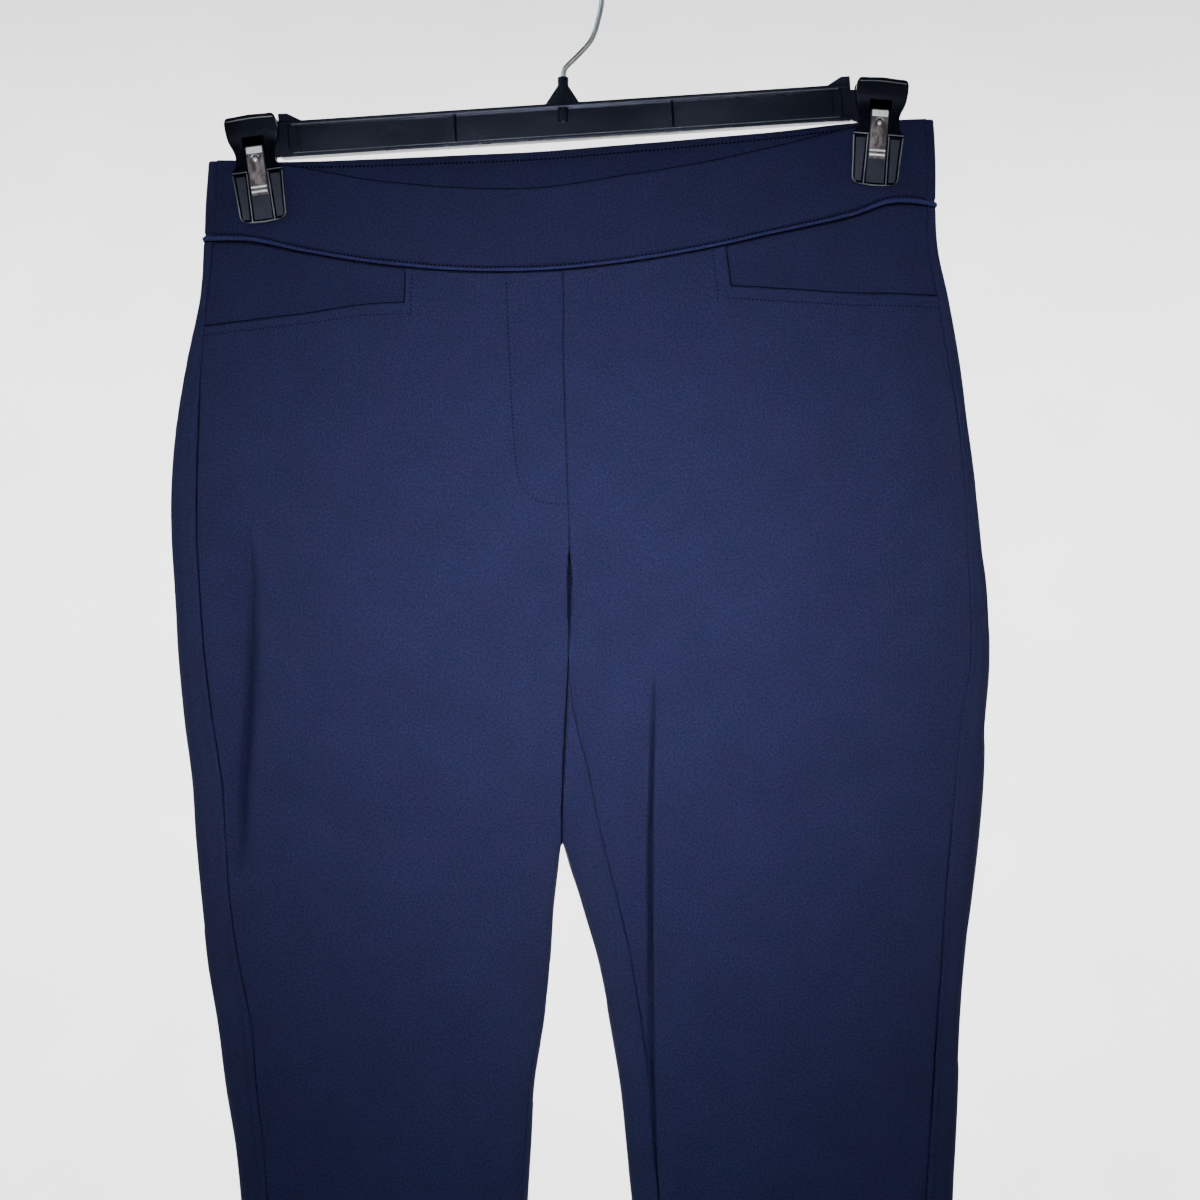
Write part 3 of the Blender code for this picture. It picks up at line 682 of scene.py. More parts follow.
def pathDistance(path, x, z):
    # signed distance to a path, and how far along it from 0 to 1; the left of its way is negative
    best = np.full(x.shape, 1e9)
    along = np.zeros(x.shape)
    for k in range(len(path) - 1):
        a, b = path[k], path[k + 1]
        step = b - a
        length = math.hypot(*step)
        t = ((x - a[0]) * step[0] + (z - a[1]) * step[1]) / length**2
        t = np.clip(t, 0, 1)
        gapX, gapZ = x - a[0] - t * step[0], z - a[1] - t * step[1]
        side = np.where(step[0] * gapZ - step[1] * gapX > 0, -1.0, 1.0)
        distance = np.hypot(gapX, gapZ)
        near = distance < np.abs(best)
        best = np.where(near, distance * side, best)
        along = np.where(near, (k + t) / (len(path) - 1), along)
    return best, along


creaseRound = 0.25


def foldRelief(face, x, z):
    relief = np.zeros(x.shape)
    for fold in folds[face]:
        path = smoothPath(fold["path"])
        distance, along = pathDistance(path, x, z)
        # the paths run down or to the right, so their right-hand side is to the viewer's left or below
        reach = np.where(distance > 0, fold["reach"][0], fold["reach"][1])
        fade = np.sin(np.clip(along, 0.0, 1.0) * math.pi) ** 0.7
        relief -= fold["depth"] * fade * np.exp(-((distance / reach) ** 2))
        if "crease" in fold:
            depth, width = fold["crease"]
            relief -= depth * fade * np.exp(-np.hypot(distance, creaseRound) / width)
    return relief


unevenness = {"seed": 11, "waves": 22, "short": 26.0, "long": 170.0, "upright": 0.55, "height": 0.34}


def slowWaves(face, x, z):
    # the cloth never hangs quite flat
    draw = np.random.default_rng(unevenness["seed"] + len(face))
    total = np.zeros(x.shape)
    for _ in range(unevenness["waves"]):
        length = math.exp(draw.uniform(math.log(unevenness["short"]), math.log(unevenness["long"])))
        heading = draw.uniform(0, math.pi)
        shift = draw.uniform(0, 2 * math.pi)
        way = x * math.cos(heading) + z * math.sin(heading) * unevenness["upright"]
        way = way * 2 * math.pi / length
        total += np.sin(way + shift) * length / unevenness["long"]
    return total * unevenness["height"]


def groove(distance, at, depth, reach):
    return -depth * np.exp(-(((distance - at) / reach) ** 2))


def rolledEdge(distance, depth, reach):
    return -depth * np.clip(1 - distance / reach, 0, 1) ** 2


stitchRows = {"needleShade": [], "hem": [], "side": [], "seam": [], "edge": []}  # rows of points in millimetres


def keepStitches(points, normals, at, lift, kind="hem", shift=(0, 0, 0)):
    # a row of stitches, or a cord of painted shade, over the cloth's points at the given rows and columns
    stitchRows[kind].append(points[at] + shift + normals[at] * lift)


leg = {
    "wall": 1.2,
    "frontCounts": (58, 58),
    "backCount": 104,
    "rowHeight": 4.4,
    "yokeRows": 14,
    "hipRows": 18,
    "rollDepth": 0.55,  # the turned edges dip into the seams
    "rollReach": 0.9,
    "lowRoll": 0.9,  # and this much deeper, in shares, from lowRollZ down over lowRollFade
    "lowRollZ": -380.0,
    "lowRollFade": 80.0,
    "middleRoll": 0.85,  # the same at the centre and inner seams
    "tuck": 3.4,  # how far the top edge goes up behind the waistband
    "tuckDepth": 1.95,
    "tuckReach": 1.5,
    "tuckWall": 0.35,
    "topstitch": 3.6,  # from the side seam, on the back panel
    "stitchGroove": 0.4,
    "grooveReach": 0.7,
    "stitchLift": -0.06,
    "stitchFrom": {"side": 7, "pocket": 9, "pocketEdge": 12},  # rows above these lie behind the waistband
    "hemColumn": {"front": 5, "back": 40},
    "allowance": 0.2,  # how proud the seam's turned-in edges make the cloth
    "allowanceReach": 9.0,
    "calmBelowBand": 40.0,  # the folds begin this far below the waistband
    "foldsFromSide": 30.0,  # and on the back this far from the side seam
    "foldsRoundSide": 0.25,
    "hemHeight": 24.0,
    "hemProud": 0.35,
    "hemRoll": 0.5,
    "hemRollReach": 1.3,
    "hemGroove": 0.25,
    "hemGrooveReach": 1.2,
    "touchGap": 3.5,  # where the legs are closer than this they touch
    "touchMore": 2.0,  # and this much more above touchMoreZ, so that no slit opens below the crotch
    "touchMoreZ": -400.0,
    "touchMoreFade": 40.0,
    "touchEase": 1.5,
    "touchFade": 12.0,  # below the cleft's top
    "touchReach": 5.0,
    "overlap": 0.22,  # of the back edges, from the crotch down to overlapZ
    "overlapZ": -342.0,
    "overlapFade": (5.0, 10.0),
    "press": 0.12,
    "pressCorner": 1.5,
    "pressPower": 5.0,
    "contactZ": (-362.0, -458.5),  # the painted shade line between the touching legs
    "contactLift": 0.1,
    "sideLineZ": -446.0,  # below this a line of painted shade lies in the side seams
    "sideLineLift": 0.15,
    "pressReach": 24.0,
}
# how thick the legs stay where they press on each other
pressLevels = np.array((
    (-485, 0), (-470, 2.5), (-440, 9), (-400, 11.5), (-350, 14.5), (-330, 15.5), (-315, 11), (-300, 0),
), float)
cleft = {"span": (-306.0, -370.0), "depth": 12.0, "reach": 2.0, "endReach": 0.35, "roundness": 1.3}
pocket = {
    "lipHeight": 5.4,
    "lipProud": 0.75,
    "lipFade": 2.2,
    "edgeRoll": 0.9,
    "edgeReach": 1.1,
    "edgeAway": 0.4,  # the painted shade cord along the opening: beside its edge, and below it
    "edgeDrop": -0.25,
    "uprightStitch": {"left": 3.6, "right": 7.2},
    "lipRows": 9,  # from the opening down to the lip's stitches
    "wall": 0.8,
    "sink": 1.25,  # of the facing, behind the front panel
    "sinkReach": 16.0,
    "tuckShare": 0.7,
    "slot": 1.6,  # how much deeper it dips along the lip
    "slotReach": 1.1,
    "reachUnder": 11.0,
}
fly = {
    "path": ((-28.6, -160), (-26.2, -218), (-24, -254), (-22.4, -267), (-18.6, -276.5),
             (-12, -281.6), (-5, -283), (2.6, -283.2)),
    "grooveDepth": 0.5,
    "grooveReach": 0.8,
    "facingProud": 0.22,
    "lowest": -284.0,
    "leftmost": -31.0,
}


def tuckedLevels():
    # the first rows, behind the waistband and just below it
    return 1 + np.concatenate([(-leg["tuck"], -1.2, -0.4), edgeSteps]) / form["yokeHeight"]


def legLevels():
    yoke, height = form["yokeHeight"], form["levelHeight"]
    lip = np.array((0.3, 0.7, 1.2, 1.9, 2.8, 3.8, 4.6, 5.0, 5.4, 5.8, 6.4, 7.4, 9.0))
    top = tuckedLevels()
    upper = np.linspace(top[-1], 2 - edgeSteps[-1] / yoke, leg["yokeRows"])[1:-1]
    toPocket = 2 - edgeSteps[::-1] / yoke
    below = 2 + lip / form["hipHeight"]
    hip = np.linspace(below[-1], 3, leg["hipRows"])[1:]
    last = 3 + (form["hipZ"] - form["hemZ"]) / height
    hem = last - edgeSteps[::-1] / height
    count = int((last - 3) * height / leg["rowHeight"])
    down = np.linspace(3, hem[0], count)[1:-1]
    return np.concatenate([top, upper, toPocket, below, hip, down, hem])


def legsTogether(side, points, turns):
    # between the crotch and the knee the two legs press on each other, edge to edge, and stay thick there
    z = points[..., 2]
    left, right = bodySize("leftInner", z), bodySize("rightInner", z)
    apart = right - left
    width = np.abs(bodySize(side + "Outer", z) - bodySize(side + "Inner", z))
    fromEdge = (1 - np.cos(turns)) / 2 * width
    limit = leg["touchGap"] + leg["touchMore"] * ease((z - leg["touchMoreZ"]) / leg["touchMoreFade"])
    below = form["cleftZ"] - z
    touching = ease((limit - apart) / leg["touchEase"]) * ease(below / leg["touchFade"])
    near = np.exp(-((fromEdge / leg["touchReach"]) ** 2))
    # the back edges overlap at the crotch, so that no light comes through the cleft
    first, last = leg["overlapFade"]
    behind = (points[..., 1] > 0) * ease(below / first) * ease((z - leg["overlapZ"]) / last)
    shift = (apart / 2 + leg["press"]) * touching * near + leg["overlap"] * behind * near
    points = points.copy()
    points[..., 0] += shift if side == "left" else -shift
    corner = (1 - (1 - np.clip(fromEdge / leg["pressCorner"], 0, 1)) ** 3) ** (1 / 3)
    least = np.maximum(0, readCurve(pressLevels, ("z", "thick"), "thick", z))
    least = least * corner * np.exp(-((fromEdge / leg["pressReach"]) ** 2))
    y, power = np.abs(points[..., 1]), leg["pressPower"]
    thick = (y**power + least**power) ** (1 / power)
    points[..., 1] = np.where(points[..., 1] < 0, -thick, thick)
    return points


def legGrid(side, level, turns):
    points = clothPoint(side, level[:, None] + 0 * turns, turns)
    return legsTogether(side, points, turns)


def tuckRelief(belowBand):
    # the top edge dives behind the waistband
    return -leg["tuckDepth"] * (1 - ease((belowBand + 0.2) / leg["tuckReach"])) ** 0.7


def tuckedWall(belowBand, wall):
    return leg["tuckWall"] + (wall - leg["tuckWall"]) * ease(belowBand / 3.0)


def seamRelief(run, z):
    # the turned edge along a seam; at the inner edge it opens into the cleft below the body
    high, low = cleft["span"]
    share = np.clip((high - z) / (high - low), 0, 1)
    opening = np.sin(share * math.pi) ** cleft["roundness"]
    reach = cleft["reach"] * (cleft["endReach"] + (1 - cleft["endReach"]) * opening)
    slope = np.clip(1 - run / reach, 0, 1)
    return rolledEdge(run, leg["middleRoll"], leg["rollReach"]) - cleft["depth"] * opening * slope


def legRelief(face, points):
    x, z = points[..., 0], points[..., 2]
    belowBand = waistLine("seam", x) - z
    aboveHem = z - form["hemZ"]
    relief = (foldRelief(face, x, z) + slowWaves(face, x, z)) * ease(belowBand / leg["calmBelowBand"])
    relief += tuckRelief(belowBand)
    relief += rolledEdge(aboveHem, leg["hemRoll"], leg["hemRollReach"])
    relief += leg["hemProud"] * (1 - ease((aboveHem - leg["hemHeight"] + 1) / 3.0))
    relief += groove(aboveHem, leg["hemHeight"], leg["hemGroove"], leg["hemGrooveReach"])
    return relief


def hemRow(face, points):
    # the row nearest to the hem's stitches
    heights = points[:, leg["hemColumn"][face], 2]
    return int(np.argmin(np.abs(heights - form["hemZ"] - leg["hemHeight"])))


def frontLeg(side):
    name = "frontLeg" + side.capitalize()
    level = legLevels()
    turns, run, upright = frontColumns(side, level, leg["frontCounts"])
    points = legGrid(side, level, turns)
    away = loopMiddle(points)
    x, z = points[..., 0], points[..., 2]
    relief = legRelief("front", points)
    toSide = run[:, -1:] - run
    relief += seamRelief(run, z)
    # the side seam pulls in more below the thigh
    low = 1 + leg["lowRoll"] * ease((leg["lowRollZ"] - z) / leg["lowRollFade"])
    relief += rolledEdge(toSide, leg["rollDepth"], leg["rollReach"]) * low
    # the pocket's turned edge stands proud along the opening
    beside = np.maximum(0, run[:, upright:upright + 1] - run)
    under = np.maximum(0, waistLine("pocket", x) - z)
    fromOpening = np.where((level[:, None] < 2) & (beside == 0), 0, np.hypot(beside, under))
    stitchAt = pocket["lipHeight"]
    relief += pocket["lipProud"] * (1 - ease((fromOpening - stitchAt) / pocket["lipFade"]))
    relief += rolledEdge(fromOpening, pocket["edgeRoll"], pocket["edgeReach"])
    relief += groove(fromOpening, stitchAt, leg["stitchGroove"], leg["grooveReach"])
    if side == "left":
        distance, _ = pathDistance(smoothPath(fly["path"]), x, z)
        relief += groove(np.abs(distance), 0, fly["grooveDepth"], fly["grooveReach"])
        within = (z > fly["lowest"]) * (x > fly["leftmost"])
        relief += fly["facingProud"] * ease((distance * -1 - 1) / 2) * within
    points, normals = raised(points, relief, away)
    belowBand = waistLine("seam", x) - z
    inside = points - normals * tuckedWall(belowBand, leg["wall"])[..., None]
    keep = allCells(points)
    cut = np.searchsorted(level, 2.0)
    keep[:cut, upright:] = False
    piece = shellObject(name, points, inside, keep, run, materials["cloth"])
    # cords of painted shade along the edge of the opening, down beside its upright edge and low in the side
    # seam, then stitch rows, dark with painted shade, along the lip and down beside its upright edge
    drop, beyond = pocket["edgeDrop"], pocket["edgeAway"]
    outward = beyond if side == "right" else -beyond
    keepStitches(points, normals, np.s_[cut, upright:-2], drop, "edge", (0, 0, beyond))
    first = leg["stitchFrom"]
    keepStitches(points, normals, np.s_[first["pocketEdge"]:cut, upright], drop, "edge", (outward, 0, 0))
    keepStitches(points, normals, np.s_[z[:, -1] < leg["sideLineZ"], -1], leg["sideLineLift"], "edge")
    row = cut + pocket["lipRows"]
    keepStitches(points, normals, np.s_[row, upright - 4:-2], leg["stitchLift"])
    column = upright - int(np.searchsorted(edgeSteps, pocket["uprightStitch"][side]))
    keepStitches(points, normals, np.s_[first["pocket"]:row + 1, column], leg["stitchLift"])
    # the hem's stitches, dark with painted shade of their holes
    keepStitches(points, normals, hemRow("front", points), leg["stitchLift"])
    if side == "left":
        flyStitches(points, normals)
    finishCloth(piece, "front_leg_" + side, points, keep)


def inseamShadeCord():
    # a cord of painted shade where the two pressed legs meet
    z = np.linspace(*leg["contactZ"], 66)
    thick = readCurve(pressLevels, ("z", "thick"), "thick", z)
    x = (bodySize("leftInner", z) + bodySize("rightInner", z)) / 2
    y = leg["contactLift"] - np.maximum(thick, 2.0)
    stitchRows["edge"].append(np.stack([x, y, z], 1))


def flyStitches(points, normals):
    # the path's places on the finished cloth, found among the six nearest points
    path = smoothPath(fly["path"], 6)
    flat, out = points.reshape(-1, 3), normals.reshape(-1, 3)
    row = []
    for x, z in path[1:-1]:
        distance = np.hypot(flat[:, 0] - x, flat[:, 2] - z)
        near = np.argsort(distance)[:6]
        weight = 1 / (distance[near] + 0.2) ** 2
        weight /= weight.sum()
        y = (flat[near, 1] * weight).sum()
        row.append((x, y, z) + (out[near] * weight[:, None]).sum(0) * leg["stitchLift"])
    # the fly's stitches, dark with painted shade of their holes
    stitchRows["hem"].append(np.array(row))


def backLeg(side):
    name = "backLeg" + side.capitalize()
    level = legLevels()
    turns, run = backColumns(side, level, leg["backCount"])
    points = legGrid(side, level, turns)
    away = loopMiddle(points)
    relief = legRelief("back", points)
    # folds of the back don't reach round the side onto the front
    relief *= np.where(points[..., 1] < 0, leg["foldsRoundSide"], ease(run / leg["foldsFromSide"]))
    toInner = run[:, -1:] - run
    relief += rolledEdge(run, leg["rollDepth"], leg["rollReach"])
    relief += rolledEdge(toInner, leg["middleRoll"], leg["rollReach"])
    relief += leg["allowance"] * (1 - ease((run - leg["allowanceReach"] + 3) / 4.0))
    relief += groove(run, leg["topstitch"], leg["stitchGroove"], leg["grooveReach"])
    points, normals = raised(points, relief, away)
    belowBand = waistLine("seam", points[..., 0]) - points[..., 2]
    inside = points - normals * tuckedWall(belowBand, leg["wall"])[..., None]
    keep = allCells(points)
    piece = shellObject(name, points, inside, keep, run, materials["cloth"])
    column = int(np.searchsorted(edgeSteps, leg["topstitch"]))
    keepStitches(points, normals, np.s_[leg["stitchFrom"]["side"]:-2, column], leg["stitchLift"], "side")
    # the hem's stitches, dark with painted shade of their holes
    keepStitches(points, normals, hemRow("back", points), leg["stitchLift"])
    finishCloth(piece, "back_leg_" + side, points, keep)


def pocketFacing(side):
    name = "pocketFacing" + side.capitalize()
    lip = np.array((6.0, 3.0, 2.0, 1.4, 1.0, 0.6, 0.3, 0.0, -0.4, -1.0, -2.0))
    lip = 2 - lip / form["yokeHeight"]
    under = np.linspace(2.08, 2.0 + pocket["reachUnder"] / form["hipHeight"], 4)
    level = np.concatenate([tuckedLevels(), np.linspace(1.24, lip[0] - 0.05, 14), lip, under])
    turns, run, upright = frontColumns(side, level, (12, 56))
    first = upright - 9
    turns, run = turns[:, first:], run[:, first:]
    points = legGrid(side, level, turns)
    away = loopMiddle(points)
    x, z = points[..., 0], points[..., 2]
    toSide = run[:, -1:] - run
    belowBand = waistLine("seam", x) - z
    relief = slowWaves("front", x, z) * ease(belowBand / leg["calmBelowBand"]) - pocket["sink"]
    # the facing is sewn in at the side seam and under the waistband, level with the panels there
    relief += (pocket["sink"] - 0.1) * (1 - ease(toSide / pocket["sinkReach"]))
    relief += tuckRelief(belowBand) * pocket["tuckShare"]
    relief += rolledEdge(toSide, leg["rollDepth"], leg["rollReach"])
    toOpening = np.minimum(z - waistLine("pocket", x), run - run[:, 9:10])
    relief -= pocket["slot"] * ease((pocket["slotReach"] - toOpening) / pocket["slotReach"]) ** 1.5
    points, normals = raised(points, relief, away)
    inside = points - normals * tuckedWall(belowBand, pocket["wall"])[..., None]
    keep = allCells(points)
    piece = shellObject(name, points, inside, keep, run, materials["facing"])
    finishCloth(piece, "pocket_facing_" + side, points, keep)


band = {
    "wall": 1.8,
    "frontCounts": (44, 52),
    "backCount": 104,
    "height": 46.0,
    "pipeHeight": (1.7, 2.9),  # at the middle and at the ends
    "pipeProud": 1.0,
    "pipeWay": (125.0, 190.0),  # from the middle, where its height changes
    "needleRise": 0.55,  # above the piping
    "needleGroove": 0.9,
    "grooveReach": 0.7,
    "rimRoll": 0.55,
    "rimReach": 1.4,
    "endRoll": 0.5,
    "rimStitch": 3.0,  # below the rim, on the inside
    "rimStitchDepth": 0.3,
    "rimRow": 6,
    "rimLift": 0.05,
    "rimRise": 0.5,  # the painted shade line at the front rim
    "rimDrop": -0.85,
    "crown": 0.6,
    "waves": 0.35,  # as a share of the panels' waves
    "wavesFlatter": 1.6,
    "wavesCalm": 8.0,
    "seamDrop": -0.5,
    "seamLift": -0.5,
}


def bandLevels():
    rim = np.array((0, 0.25, 0.6, 1.1, 1.8, 2.4, 3.0, 3.6, 4.6)) / band["height"]
    pipe = 1 - np.arange(16, -1, -1) * 0.25 / band["height"]
    return np.concatenate([rim, np.linspace(rim[-1], pipe[0] - 0.03, 18)[1:], [pipe[0] - 0.012], pipe])


def bandRelief(points, face):
    x, z = points[..., 0], points[..., 2]
    rim = waistLine("frontRim" if face == "front" else "backRim", x)
    belowRim, aboveSeam = rim - z, z - waistLine("seam", x)
    start, end = band["pipeWay"]
    share = ease((np.abs(x) - start) / (end - start))
    pipe = band["pipeHeight"][0] + (band["pipeHeight"][1] - band["pipeHeight"][0]) * share
    relief = band["pipeProud"] * np.clip(1 - ((aboveSeam - pipe / 2) / (pipe / 2)) ** 2, 0, 1) ** 0.5
    relief += groove(aboveSeam, pipe + band["needleRise"], band["needleGroove"], band["grooveReach"])
    relief += rolledEdge(belowRim, band["rimRoll"], band["rimReach"])
    relief += band["crown"] * np.sin(np.clip(belowRim / (belowRim + aboveSeam), 0, 1) * math.pi)
    waves = slowWaves("band" + face, x, z * band["wavesFlatter"]) * band["waves"]
    relief += waves * ease(aboveSeam / band["wavesCalm"])
    return relief, pipe


def waistband(face):
    name = "waistband" + face.capitalize()
    front = face == "front"
    level = bandLevels()
    grids, runs = {}, {}
    for side in ("left", "right"):
        if front:
            turns, runs[side], _ = frontColumns(side, level, band["frontCounts"])
        else:
            turns, runs[side] = backColumns(side, level, band["backCount"])
        grids[side] = clothPoint(side, level[:, None] + 0 * turns, turns)
    if front:
        points = np.concatenate([grids["left"][:, :0:-1], grids["right"]], axis=1)
        run = np.concatenate([-runs["left"][:, :0:-1], runs["right"]], axis=1)
    else:
        points = np.concatenate([grids["left"], grids["right"][:, -2::-1]], axis=1)
        whole = runs["left"][:, -1:] + runs["right"][:, -1:]
        run = np.concatenate([runs["left"], whole - runs["right"][:, -2::-1]], axis=1)
    away = np.array((0.0, 0.0, points[..., 2].mean()))
    relief, pipe = bandRelief(points, face)
    ends = np.minimum(run - run[:, :1], run[:, -1:] - run)
    relief += rolledEdge(ends, band["endRoll"], band["rimReach"])
    points, normals = raised(points, relief, away)
    x, z = points[..., 0], points[..., 2]
    belowRim = waistLine("frontRim" if front else "backRim", x) - z
    wall = band["wall"] + groove(belowRim, band["rimStitch"], band["rimStitchDepth"], band["grooveReach"])
    wall += rolledEdge(belowRim, 0.5, 1.3)
    inside = points - normals * wall[..., None]
    keep = allCells(points)
    piece = shellObject(name, points, inside, keep, run, materials["band"])
    aboveSeam = z - waistLine("seam", x)
    piped = (aboveSeam < pipe)[1:, 1:].reshape(-1)
    # the piping's faces take the paler copy of the knit: painted highlight
    piece.data.materials.append(materials["pipingHighlight"])
    paintedHighlightFaces = np.zeros(len(piece.data.polygons), np.int32)
    paintedHighlightFaces[:len(piped)] = piped
    piece.data.polygons.foreach_set("material_index", paintedHighlightFaces)
    # needle stitches just above the piping and the rim's stitch row on the inside, both dark with painted
    # shade of their holes
    rows = np.argmin(np.abs(aboveSeam - pipe - band["needleRise"]), axis=0)
    columns = np.arange(points.shape[1])
    keepStitches(points, normals, (rows, columns), leg["stitchLift"], "needleShade")
    keepStitches(inside, -normals, band["rimRow"], band["rimLift"], "needleShade")
    if front:
        # a near-black cord of painted shade between the front rim and the cloth behind it
        keepStitches(points, normals, 0, band["rimDrop"], "seam", (0, 0, band["rimRise"]))
    # a near-black cord of painted shade that closes the gap under the piping
    keepStitches(points, normals, -1, band["seamLift"], "seam", (0, 0, band["seamDrop"]))
    finishCloth(piece, "waistband_" + face, points, keep)


waistband("front")
waistband("back")
for side in ("left", "right"):
    frontLeg(side)
    backLeg(side)
    pocketFacing(side)
inseamShadeCord()
print("cloth made")

threads = {
    "needleShade": {"Spacing": 2.1, "Length": 1.5, "Thickness": 1.1},
    "hem": {"Spacing": 2.1, "Length": 1.35, "Thickness": 0.62},
    "side": {"Spacing": 2.1, "Length": 1.25, "Thickness": 0.65},
    "seam": {"Spacing": 1.0, "Length": 1.9, "Thickness": 1.2},
    "edge": {"Spacing": 0.8, "Length": 1.5, "Thickness": 0.75},
}


def stitchTree():
    tree = bpy.data.node_groups.new("stitchRow", "GeometryNodeTree")
    inputs = {"Geometry": "Geometry", "Spacing": "Float", "Length": "Float", "Thickness": "Float",
              "Material": "Material"}
    sockets = {}
    for label, kind in inputs.items():
        socket = tree.interface.new_socket(label, in_out="INPUT", socket_type="NodeSocket" + kind)
        sockets[label] = socket.identifier
    tree.interface.new_socket("Geometry", in_out="OUTPUT", socket_type="NodeSocketGeometry")
    n = addNodes(tree, {
        "in": "NodeGroupInput", "out": "NodeGroupOutput", "curve": "GeometryNodeMeshToCurve",
        "resample": "GeometryNodeResampleCurve", "instance": "GeometryNodeInstanceOnPoints",
        "bead": "GeometryNodeMeshUVSphere", "tangent": "GeometryNodeInputTangent",
        "align": "FunctionNodeAlignRotationToVector", "size": "ShaderNodeCombineXYZ",
        "realize": "GeometryNodeRealizeInstances", "finish": "GeometryNodeSetMaterial",
        "smooth": "GeometryNodeSetShadeSmooth",
    })
    n["resample"].mode = "LENGTH"
    n["bead"].inputs["Segments"].default_value = 6
    n["bead"].inputs["Rings"].default_value = 4
    n["bead"].inputs["Radius"].default_value = 0.5
    n["align"].axis = "X"
    links = (
        ("in", "Geometry", "curve", 0), ("curve", 0, "resample", "Curve"),
        ("in", "Spacing", "resample", "Length"), ("resample", 0, "instance", "Points"),
        ("bead", "Mesh", "instance", "Instance"), ("tangent", 0, "align", "Vector"),
        ("align", 0, "instance", "Rotation"), ("in", "Length", "size", 0),
        ("in", "Thickness", "size", 1), ("in", "Thickness", "size", 2),
        ("size", 0, "instance", "Scale"), ("instance", 0, "realize", 0),
        ("realize", 0, "smooth", 0), ("smooth", 0, "finish", "Geometry"),
        ("in", "Material", "finish", "Material"), ("finish", 0, "out", 0),
    )
    for source, output, target, entry in links:
        tree.links.new(n[source].outputs[output], n[target].inputs[entry])
    return tree, sockets


def sewStitches(kind):
    points, edges = [], []
    for row in stitchRows[kind]:
        first = len(points)
        points += (row * mm).tolist()
        edges += [(first + k, first + k + 1) for k in range(len(row) - 1)]
    mesh = bpy.data.meshes.new("stitchPaths")
    mesh.from_pydata(points, edges, [])
    paths = addPiece("stitchPaths", mesh)
    tree, sockets = stitches
    change = paths.modifiers.new("stitches", "NODES")
    change.node_group = tree
    for label, size in threads[kind].items():
        change[sockets[label]] = size * mm
    change[sockets["Material"]] = materials[kind + "Thread"]
    reader = bpy.context.evaluated_depsgraph_get()
    made = bpy.data.meshes.new_from_object(paths.evaluated_get(reader))
    bpy.data.objects.remove(paths, do_unlink=True)
    piece = addPiece(kind + "Stitches", made)
    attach(piece, rideOn)
    print(kind, "stitches sewn:", len(made.polygons), "faces")


stitches = stitchTree()
for kind in threads:
    sewStitches(kind)


def prism(points, low, high, bevel=0.3, across="Y"):
    # a rounded plate: x and z points run through y, or y and z points through x
    body = bmesh.new()

    def place(a, b, depth):
        return (a, depth, b) if across == "Y" else (depth, a, b)

    base = body.faces.new([body.verts.new(place(a, b, low)) for a, b in points])
    moved = bmesh.ops.extrude_face_region(body, geom=[base])["geom"]
    shift = Vector(place(0, 0, high - low))
    bmesh.ops.translate(body, vec=shift, verts=[g for g in moved if isinstance(g, bmesh.types.BMVert)])
    if bevel:
        bmesh.ops.bevel(body, geom=body.edges[:], offset=bevel, segments=3, profile=0.5,
                        affect="EDGES", clamp_overlap=True)
    return body


def block(x, y, z, bevel=0.3):
    return prism([(x[0], z[0]), (x[1], z[0]), (x[1], z[1]), (x[0], z[1])], y[0], y[1], bevel)


def rod(start, end, radius, bevel=0.0, sides=32):
    body = bmesh.new()
    start, end = Vector(start), Vector(end)
    along = end - start
    turn = along.to_track_quat("Z", "Y").to_matrix().to_4x4()
    bmesh.ops.create_cone(
        body, cap_ends=True, segments=sides, radius1=radius, radius2=radius, depth=along.length,
        matrix=Matrix.Translation((start + end) / 2) @ turn,
    )
    if bevel:
        rims = [e for e in body.edges if all(len(v.link_edges) == 3 for v in e.verts)
                and abs((e.verts[1].co - e.verts[0].co).normalized().dot(along.normalized())) < 0.5]
        bmesh.ops.bevel(body, geom=rims, offset=bevel, segments=2, profile=0.5, affect="EDGES")
    return body


def tube(sections, sides):
    # a closed round bar through sections: each a middle, the way outwards and a radius
    body = bmesh.new()
    turns = [2 * math.pi * k / sides for k in range(sides)]
    rings = []
    for middle, out, radius in sections:
        spokes = [out * math.cos(turn) + Vector((0, 1, 0)) * math.sin(turn) for turn in turns]
        rings.append([body.verts.new(middle + spoke * radius) for spoke in spokes])
    for a, b in zip(rings, rings[1:]):
        for j in range(sides):
            k = (j + 1) % sides
            body.faces.new([a[j], a[k], b[k], b[j]])
    body.faces.new(rings[0])
    body.faces.new(rings[-1][::-1])
    return body


def assemble(name, bodies, finishes, place, node):
    # joins rounded parts, each with the number of its finish, into one piece that stands for a node
    whole = bmesh.new()
    for body, finish in bodies:
        bmesh.ops.recalc_face_normals(body, faces=body.faces)
        for surface in body.faces:
            surface.material_index = finish
            surface.smooth = True
        part = bpy.data.meshes.new("part")
        body.to_mesh(part)
        body.free()
        whole.from_mesh(part)
        bpy.data.meshes.remove(part)
    mesh = bpy.data.meshes.new(name)
    whole.to_mesh(mesh)
    whole.free()
    mesh.transform(place @ Matrix.Scale(mm, 4))
    mesh.set_sharp_from_angle(angle=math.radians(40))
    piece = addPiece(name, mesh, *finishes)
    flatten = piece.modifiers.new("flatFaces", "WEIGHTED_NORMAL")
    flatten.keep_sharp = True
    reader = bpy.context.evaluated_depsgraph_get()
    piece.data = bpy.data.meshes.new_from_object(piece.evaluated_get(reader))
    piece.modifiers.remove(flatten)
    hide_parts(node)
    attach(piece, rideOn)
    return piece


